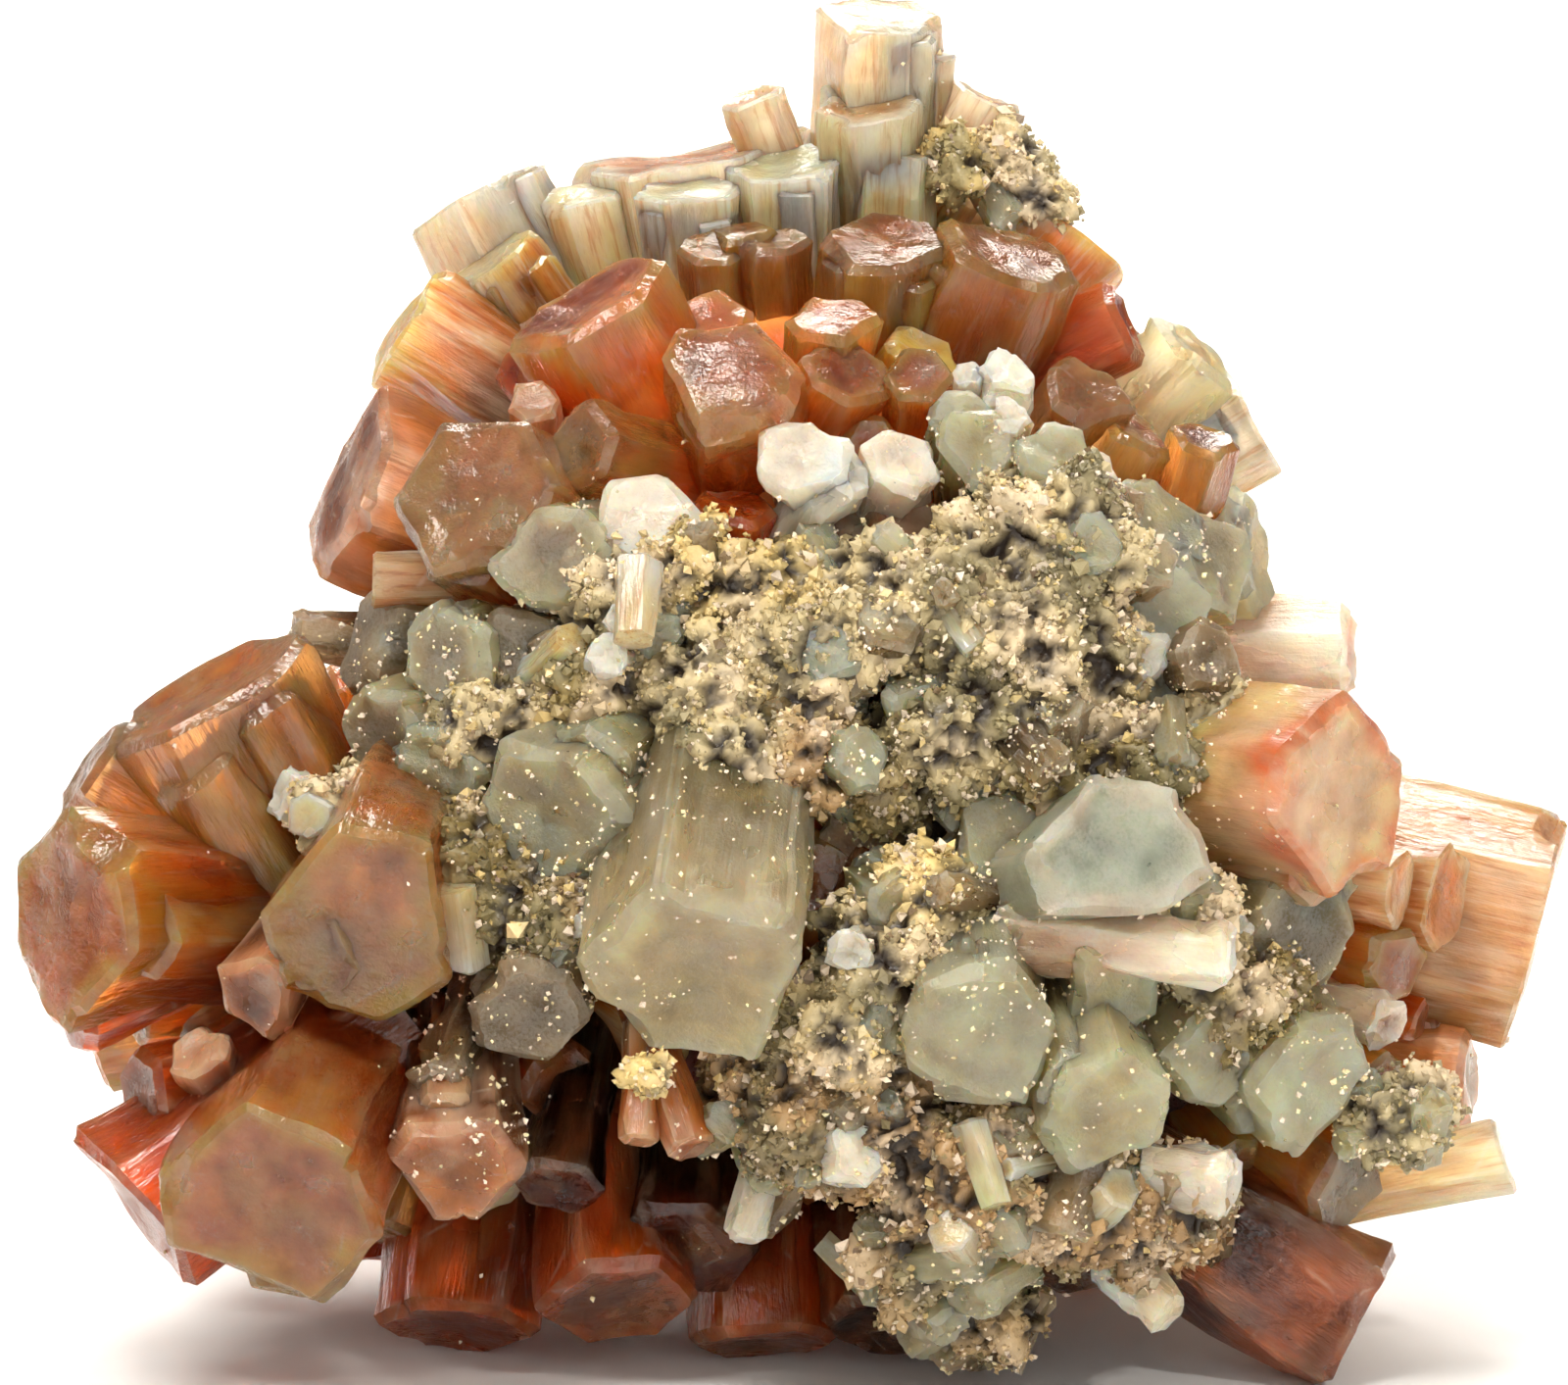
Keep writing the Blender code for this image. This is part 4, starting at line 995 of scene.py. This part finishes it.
def surface_samples(piece, count, rng):
    """Random places on a piece's surface, with their normals."""
    points = np.vstack(piece.points)
    corners = points[np.array([face[:3] for face in piece.faces])]
    cross = np.cross(corners[:, 1] - corners[:, 0], corners[:, 2] - corners[:, 0])
    area = np.linalg.norm(cross, axis=1)
    chosen = rng.choice(len(area), count, p=area / area.sum())
    share = rng.dirichlet((1.0, 1.0, 1.0), count)
    places = (corners[chosen] * share[:, :, None]).sum(axis=1)
    return places, cross[chosen] / area[chosen][:, None]


def crystal_crumbs(crystals, rng):
    """Crumbs of crust on the crystals, most of them near the crust."""
    places, normals = [], []
    for group, (count, reach) in CRUMBS.items():
        found, facing = surface_samples(crystals.pieces[group], count, rng)
        gap = gap_to_spots(found, CRUST + DUST)
        patch = smooth(-0.3, 0.7, waves(found, 2.5, rng)) * smooth(-0.4, 0.5, waves(found, 0.7, rng))
        chance = (0.05 + 0.95 * np.exp(-np.maximum(gap, 0.0) / reach)) * (0.08 + 0.92 * patch)
        keep = (rng.uniform(size=count) < chance) & ~crystals.buried(found, 0.25)
        places.append(found[keep])
        normals.append(facing[keep])
    places, normals = np.vstack(places), np.vstack(normals)
    tones = np.array([linear(tone) for tone in CRUMB_TONES])
    colours = tones[np.searchsorted(CRUMB_LIMITS, rng.uniform(size=len(places)), side="right")]
    radii = CRUMB_RADIUS * np.exp(rng.normal(0.0, CRUMB_SPREAD, len(places)))
    radii = np.minimum(radii, CRUMB_LARGEST)
    return grain_piece(places, normals, colours, radii, rng)


class Nodes:
    """Short ways to add and join a material's nodes."""

    def __init__(self, name):
        self.material = bpy.data.materials.new(name)
        self.material.use_nodes = True
        self.tree = self.material.node_tree
        self.shader = self.tree.nodes["Principled BSDF"]
        self.output = self.tree.nodes["Material Output"]

    def join(self, source, target):
        """Links a socket, or sets a plain value."""
        if isinstance(source, (int, float, tuple)):
            target.default_value = source
        else:
            self.tree.links.new(source, target)

    def add(self, kind, inputs, **settings):
        """A node with the given properties, and values or links on its inputs."""
        node = self.tree.nodes.new(kind)
        for key, value in settings.items():
            setattr(node, key, value)
        for socket, source in inputs.items():
            self.join(source, node.inputs[socket])
        return node

    def attribute(self, name):
        """A value stored on the mesh's points."""
        return self.add("ShaderNodeAttribute", {}, attribute_name=name)

    def stretched(self, vector, along):
        """A crystal's own coordinates, with its length scaled."""
        inputs = {0: vector, 1: (1.0, 1.0, along)}
        return self.add("ShaderNodeVectorMath", inputs, operation="MULTIPLY").outputs["Vector"]

    def noise(self, vector, scale, detail=3.0, roughness=0.55):
        """Noise over a vector, from 0 to 1."""
        inputs = {"Vector": vector, "Scale": scale, "Detail": detail, "Roughness": roughness}
        return self.add("ShaderNodeTexNoise", inputs).outputs["Fac"]

    def cracks(self, vector, scale):
        """Distance to the nearest crack of a net of them."""
        inputs = {"Vector": vector, "Scale": scale}
        return self.add("ShaderNodeTexVoronoi", inputs, feature="DISTANCE_TO_EDGE").outputs["Distance"]

    def spread(self, value, low, high, to_low, to_high):
        """Maps a value from one range to another, within its ends."""
        inputs = {"Value": value, "From Min": low, "From Max": high, "To Min": to_low, "To Max": to_high}
        return self.add("ShaderNodeMapRange", inputs).outputs["Result"]

    def maths(self, operation, first, second):
        """One step of arithmetic on two sockets or numbers."""
        return self.add("ShaderNodeMath", {0: first, 1: second}, operation=operation).outputs[0]

    def mix(self, blend_type, factor, first, second):
        """Mixes two colours, each a socket or a colour."""
        node = self.add("ShaderNodeMix", {}, data_type="RGBA", blend_type=blend_type)
        sockets = {item.identifier: item for item in (*node.inputs, *node.outputs)}
        self.join(factor, sockets["Factor_Float"])
        self.join(first, sockets["A_Color"])
        self.join(second, sockets["B_Color"])
        return sockets["Result_Color"]

    def grey(self, value):
        """A grey colour from a value."""
        inputs = dict.fromkeys(("Red", "Green", "Blue"), value)
        return self.add("ShaderNodeCombineColor", inputs).outputs["Color"]

    def bump(self, height, strength, depth, under=None):
        """A bump from a height, some millimetres deep, over another bump if one is given."""
        inputs = {"Height": height, "Strength": strength, "Distance": depth * MM}
        if under is not None:
            inputs["Normal"] = under
        return self.add("ShaderNodeBump", inputs).outputs["Normal"]


def clouded(nodes, tint, local, veils, cloud_tone):
    """A tint varied by veils, with pale clouds deeper in."""
    colour = nodes.mix("MULTIPLY", 1.0, tint, nodes.grey(nodes.spread(veils, 0.3, 0.7, 0.74, 1.26)))
    clouds = nodes.noise(nodes.stretched(local, 0.4), 0.42, 3.0, 0.60)
    return nodes.mix("MIX", nodes.spread(clouds, 0.48, 0.66, 0.0, 0.5), colour, (*cloud_tone, 1.0))


def streaked(nodes, colour, tint, streaks, side, strength):
    """Dark and pale streaks along a crystal's sides."""
    dark = nodes.maths("MULTIPLY", nodes.spread(streaks, 0.54, 0.66, 0.0, strength), side)
    colour = nodes.mix("MIX", dark, colour, nodes.mix("MULTIPLY", 1.0, tint, DARK_STREAK))
    pale = nodes.maths("MULTIPLY", nodes.spread(streaks, 0.30, 0.44, strength * 0.6, 0.0), side)
    return nodes.mix("MIX", pale, colour, PALE_STREAK)


def cracked(nodes, colour, local, veils):
    """Pale cracks where the veils are thick."""
    crack = nodes.spread(nodes.cracks(nodes.stretched(local, 0.6), 0.30), 0.0, 0.020, 1.0, 0.0)
    crack = nodes.maths("MULTIPLY", crack, nodes.spread(veils, 0.52, 0.64, 0.0, 0.4))
    return nodes.mix("MIX", crack, colour, CRACK_TONE)


def let_light_in(nodes, finish):
    """Transmission, milkiness under the skin and absorption along the way."""
    sockets = nodes.shader.inputs
    sockets["IOR"].default_value = ARAGONITE_IOR
    sockets["Transmission Weight"].default_value = finish.transmission
    sockets["Subsurface Weight"].default_value = finish.subsurface
    sockets["Subsurface Radius"].default_value = SKIN_SCATTER
    sockets["Subsurface Scale"].default_value = finish.reach * MM
    absorb = nodes.add("ShaderNodeVolumeAbsorption", {})
    absorb.inputs["Color"].default_value = (*finish.absorb, 1.0)
    absorb.inputs["Density"].default_value = finish.density
    nodes.join(absorb.outputs["Volume"], nodes.output.inputs["Volume"])


def crystal_material(name, finish):
    """Cloudy see-through crystal with lengthwise streaks, veils, cracks and a partly frosted skin."""
    nodes = Nodes(name)
    local = nodes.attribute("local").outputs["Vector"]
    tint = nodes.attribute("tint").outputs["Color"]
    skin = nodes.add("ShaderNodeSeparateXYZ", {0: nodes.attribute("skin").outputs["Vector"]})
    side = nodes.maths("SUBTRACT", 1.0, skin.outputs["X"])
    frost = skin.outputs["Y"]
    veils = nodes.noise(nodes.stretched(local, 0.5), 0.9, 4.0, 0.62)
    streaks = nodes.noise(nodes.stretched(local, 0.05), 4.5, 3.0, 0.65)
    grain = nodes.noise(local, 9.0, 2.0, 0.6)

    colour = clouded(nodes, tint, local, veils, finish.cloud)
    colour = streaked(nodes, colour, tint, streaks, side, finish.streaks)
    colour = cracked(nodes, colour, local, veils)
    milk = nodes.spread(nodes.maths("MULTIPLY", frost, grain), 0.28, 0.50, 0.0, 0.30)
    nodes.join(nodes.mix("MIX", milk, colour, MILK_TONE), nodes.shader.inputs["Base Color"])

    patchy = nodes.maths("ADD", nodes.maths("MULTIPLY", frost, 0.7), nodes.maths("MULTIPLY", veils, 0.3))
    nodes.join(nodes.spread(patchy, 0.2, 0.8, *finish.rough), nodes.shader.inputs["Roughness"])
    ridges = nodes.bump(nodes.maths("MULTIPLY", streaks, side), 0.5, RIDGE_DEPTH)
    waviness = nodes.bump(veils, 0.5, WAVE_DEPTH, ridges)
    pitted = nodes.maths("MULTIPLY", grain, nodes.spread(frost, 0.3, 0.9, 0.4, 1.6))
    nodes.join(nodes.bump(pitted, 0.5, PIT_DEPTH, waviness), nodes.shader.inputs["Normal"])
    let_light_in(nodes, finish)
    return nodes.material


def crust_material(name):
    """Dry granular crust."""
    nodes = Nodes(name)
    place = nodes.attribute("local").outputs["Vector"]
    tint = nodes.attribute("tint").outputs["Color"]
    blotch = nodes.noise(place, 0.8, 4.0, 0.6)
    fine = nodes.noise(place, 7.0, 3.0, 0.6)
    colour = nodes.mix("MULTIPLY", 1.0, tint, nodes.grey(nodes.spread(blotch, 0.3, 0.7, 0.75, 1.2)))
    nodes.join(colour, nodes.shader.inputs["Base Color"])
    nodes.join(nodes.spread(fine, 0.3, 0.7, 0.20, 0.70), nodes.shader.inputs["Roughness"])
    nodes.join(nodes.bump(fine, 0.6, GRIT_DEPTH), nodes.shader.inputs["Normal"])
    nodes.shader.inputs["IOR"].default_value = ARAGONITE_IOR
    return nodes.material


def finish_piece(piece, material, slot):
    """Gives a piece its material and body."""
    piece.data.materials.clear()
    piece.data.materials.append(material)
    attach(piece, "root")
    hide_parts(NODE_NAME)


def build_cluster():
    """All the pieces of the cluster."""
    rng = np.random.default_rng(SEED)
    crystals = Crystals()
    grow_front(crystals, rng)
    grow_back(crystals)
    grow_feet(crystals)
    crust, height, tints = build_crust()
    core = build_core()
    grow_fillers(crystals, core, rng)
    grow_small_ends(crystals, crust, height, rng)
    for group, piece in crystals.pieces.items():
        made = mesh_object(group + "_crystals", piece)
        finish_piece(made, crystal_material(made.name, FINISHES[group]), FINISHES[group].slot)
    grains = mesh_object("crust_grains", crust_grains(crystals, crust, height, tints, rng))
    crumbs = mesh_object("crumbs", crystal_crumbs(crystals, rng))
    for made, slot in ((core, "amber_crystal"), (crust, "crust"), (grains, "crust"), (crumbs, "crust")):
        finish_piece(made, crust_material(made.name), slot)


def build_stage():
    """A wide pale floor."""
    corners = np.array(((-1, -1, 0), (1, -1, 0), (1, 1, 0), (-1, 1, 0))) * FLOOR_HALF
    floor = linked("floor", new_mesh("floor", corners, [(0, 1, 2, 3)]))
    nodes = Nodes("floor")
    nodes.shader.inputs["Base Color"].default_value = FLOOR_TONE
    nodes.shader.inputs["Roughness"].default_value = 0.9
    floor.data.materials.append(nodes.material)


def hang_lamp(name, light, location, direction):
    """Puts a light of the studio's colour in the scene, shining in a direction."""
    light.color = WARM
    lamp = linked(name, light)
    lamp.location = location
    lamp.rotation_euler = direction.to_track_quat("-Z", "Y").to_euler()


def build_lights():
    """Soft studio light from above, in front and behind, and a bright even surround."""
    key = bpy.data.lights.new("key", "SUN")
    key.angle = KEY_WIDTH
    key.energy = KEY_POWER
    hang_lamp("key", key, (0.0, 0.0, 0.0), KEY_DIRECTION)
    for name, (location, size, power) in SOFT_LIGHTS.items():
        light = bpy.data.lights.new(name, "AREA")
        light.shape = "SQUARE"
        light.size = size
        light.energy = power
        hang_lamp(name, light, location, LIGHT_AIM - Vector(location))
    world = bpy.data.worlds.new("surround")
    world.use_nodes = True
    background = world.node_tree.nodes["Background"]
    background.inputs["Color"].default_value = (*WARM, 1.0)
    background.inputs["Strength"].default_value = SURROUND
    bpy.context.scene.world = world


def build_camera():
    """The photograph's view."""
    camera = bpy.data.cameras.new("camera")
    camera.sensor_width = SENSOR_WIDTH
    camera.lens = SENSOR_WIDTH * VIEW_DISTANCE / VIEW_WIDTH
    camera.clip_start = 0.01
    eye = linked("camera", camera)
    eye.location = Vector(view_point(0.0, VIEW_CENTRE_V, VIEW_DISTANCE)) * MM
    eye.rotation_euler = (math.radians(90.0) - VIEW_ELEVATION, 0.0, 0.0)
    bpy.context.scene.camera = eye


def set_render_look():
    """Plain colours and enough bounces for light to cross a few crystals."""
    scene = bpy.context.scene
    scene.view_settings.view_transform = "Standard"
    cycles = scene.cycles
    cycles.use_denoising = True
    cycles.max_bounces = 8
    cycles.transmission_bounces = 7
    cycles.diffuse_bounces = 3
    cycles.glossy_bounces = 3
    cycles.volume_bounces = 0
    cycles.adaptive_threshold = 0.15
    cycles.adaptive_min_samples = 12
    cycles.sample_clamp_indirect = 4.0


build_cluster()
build_stage()
build_lights()
build_camera()
set_render_look()
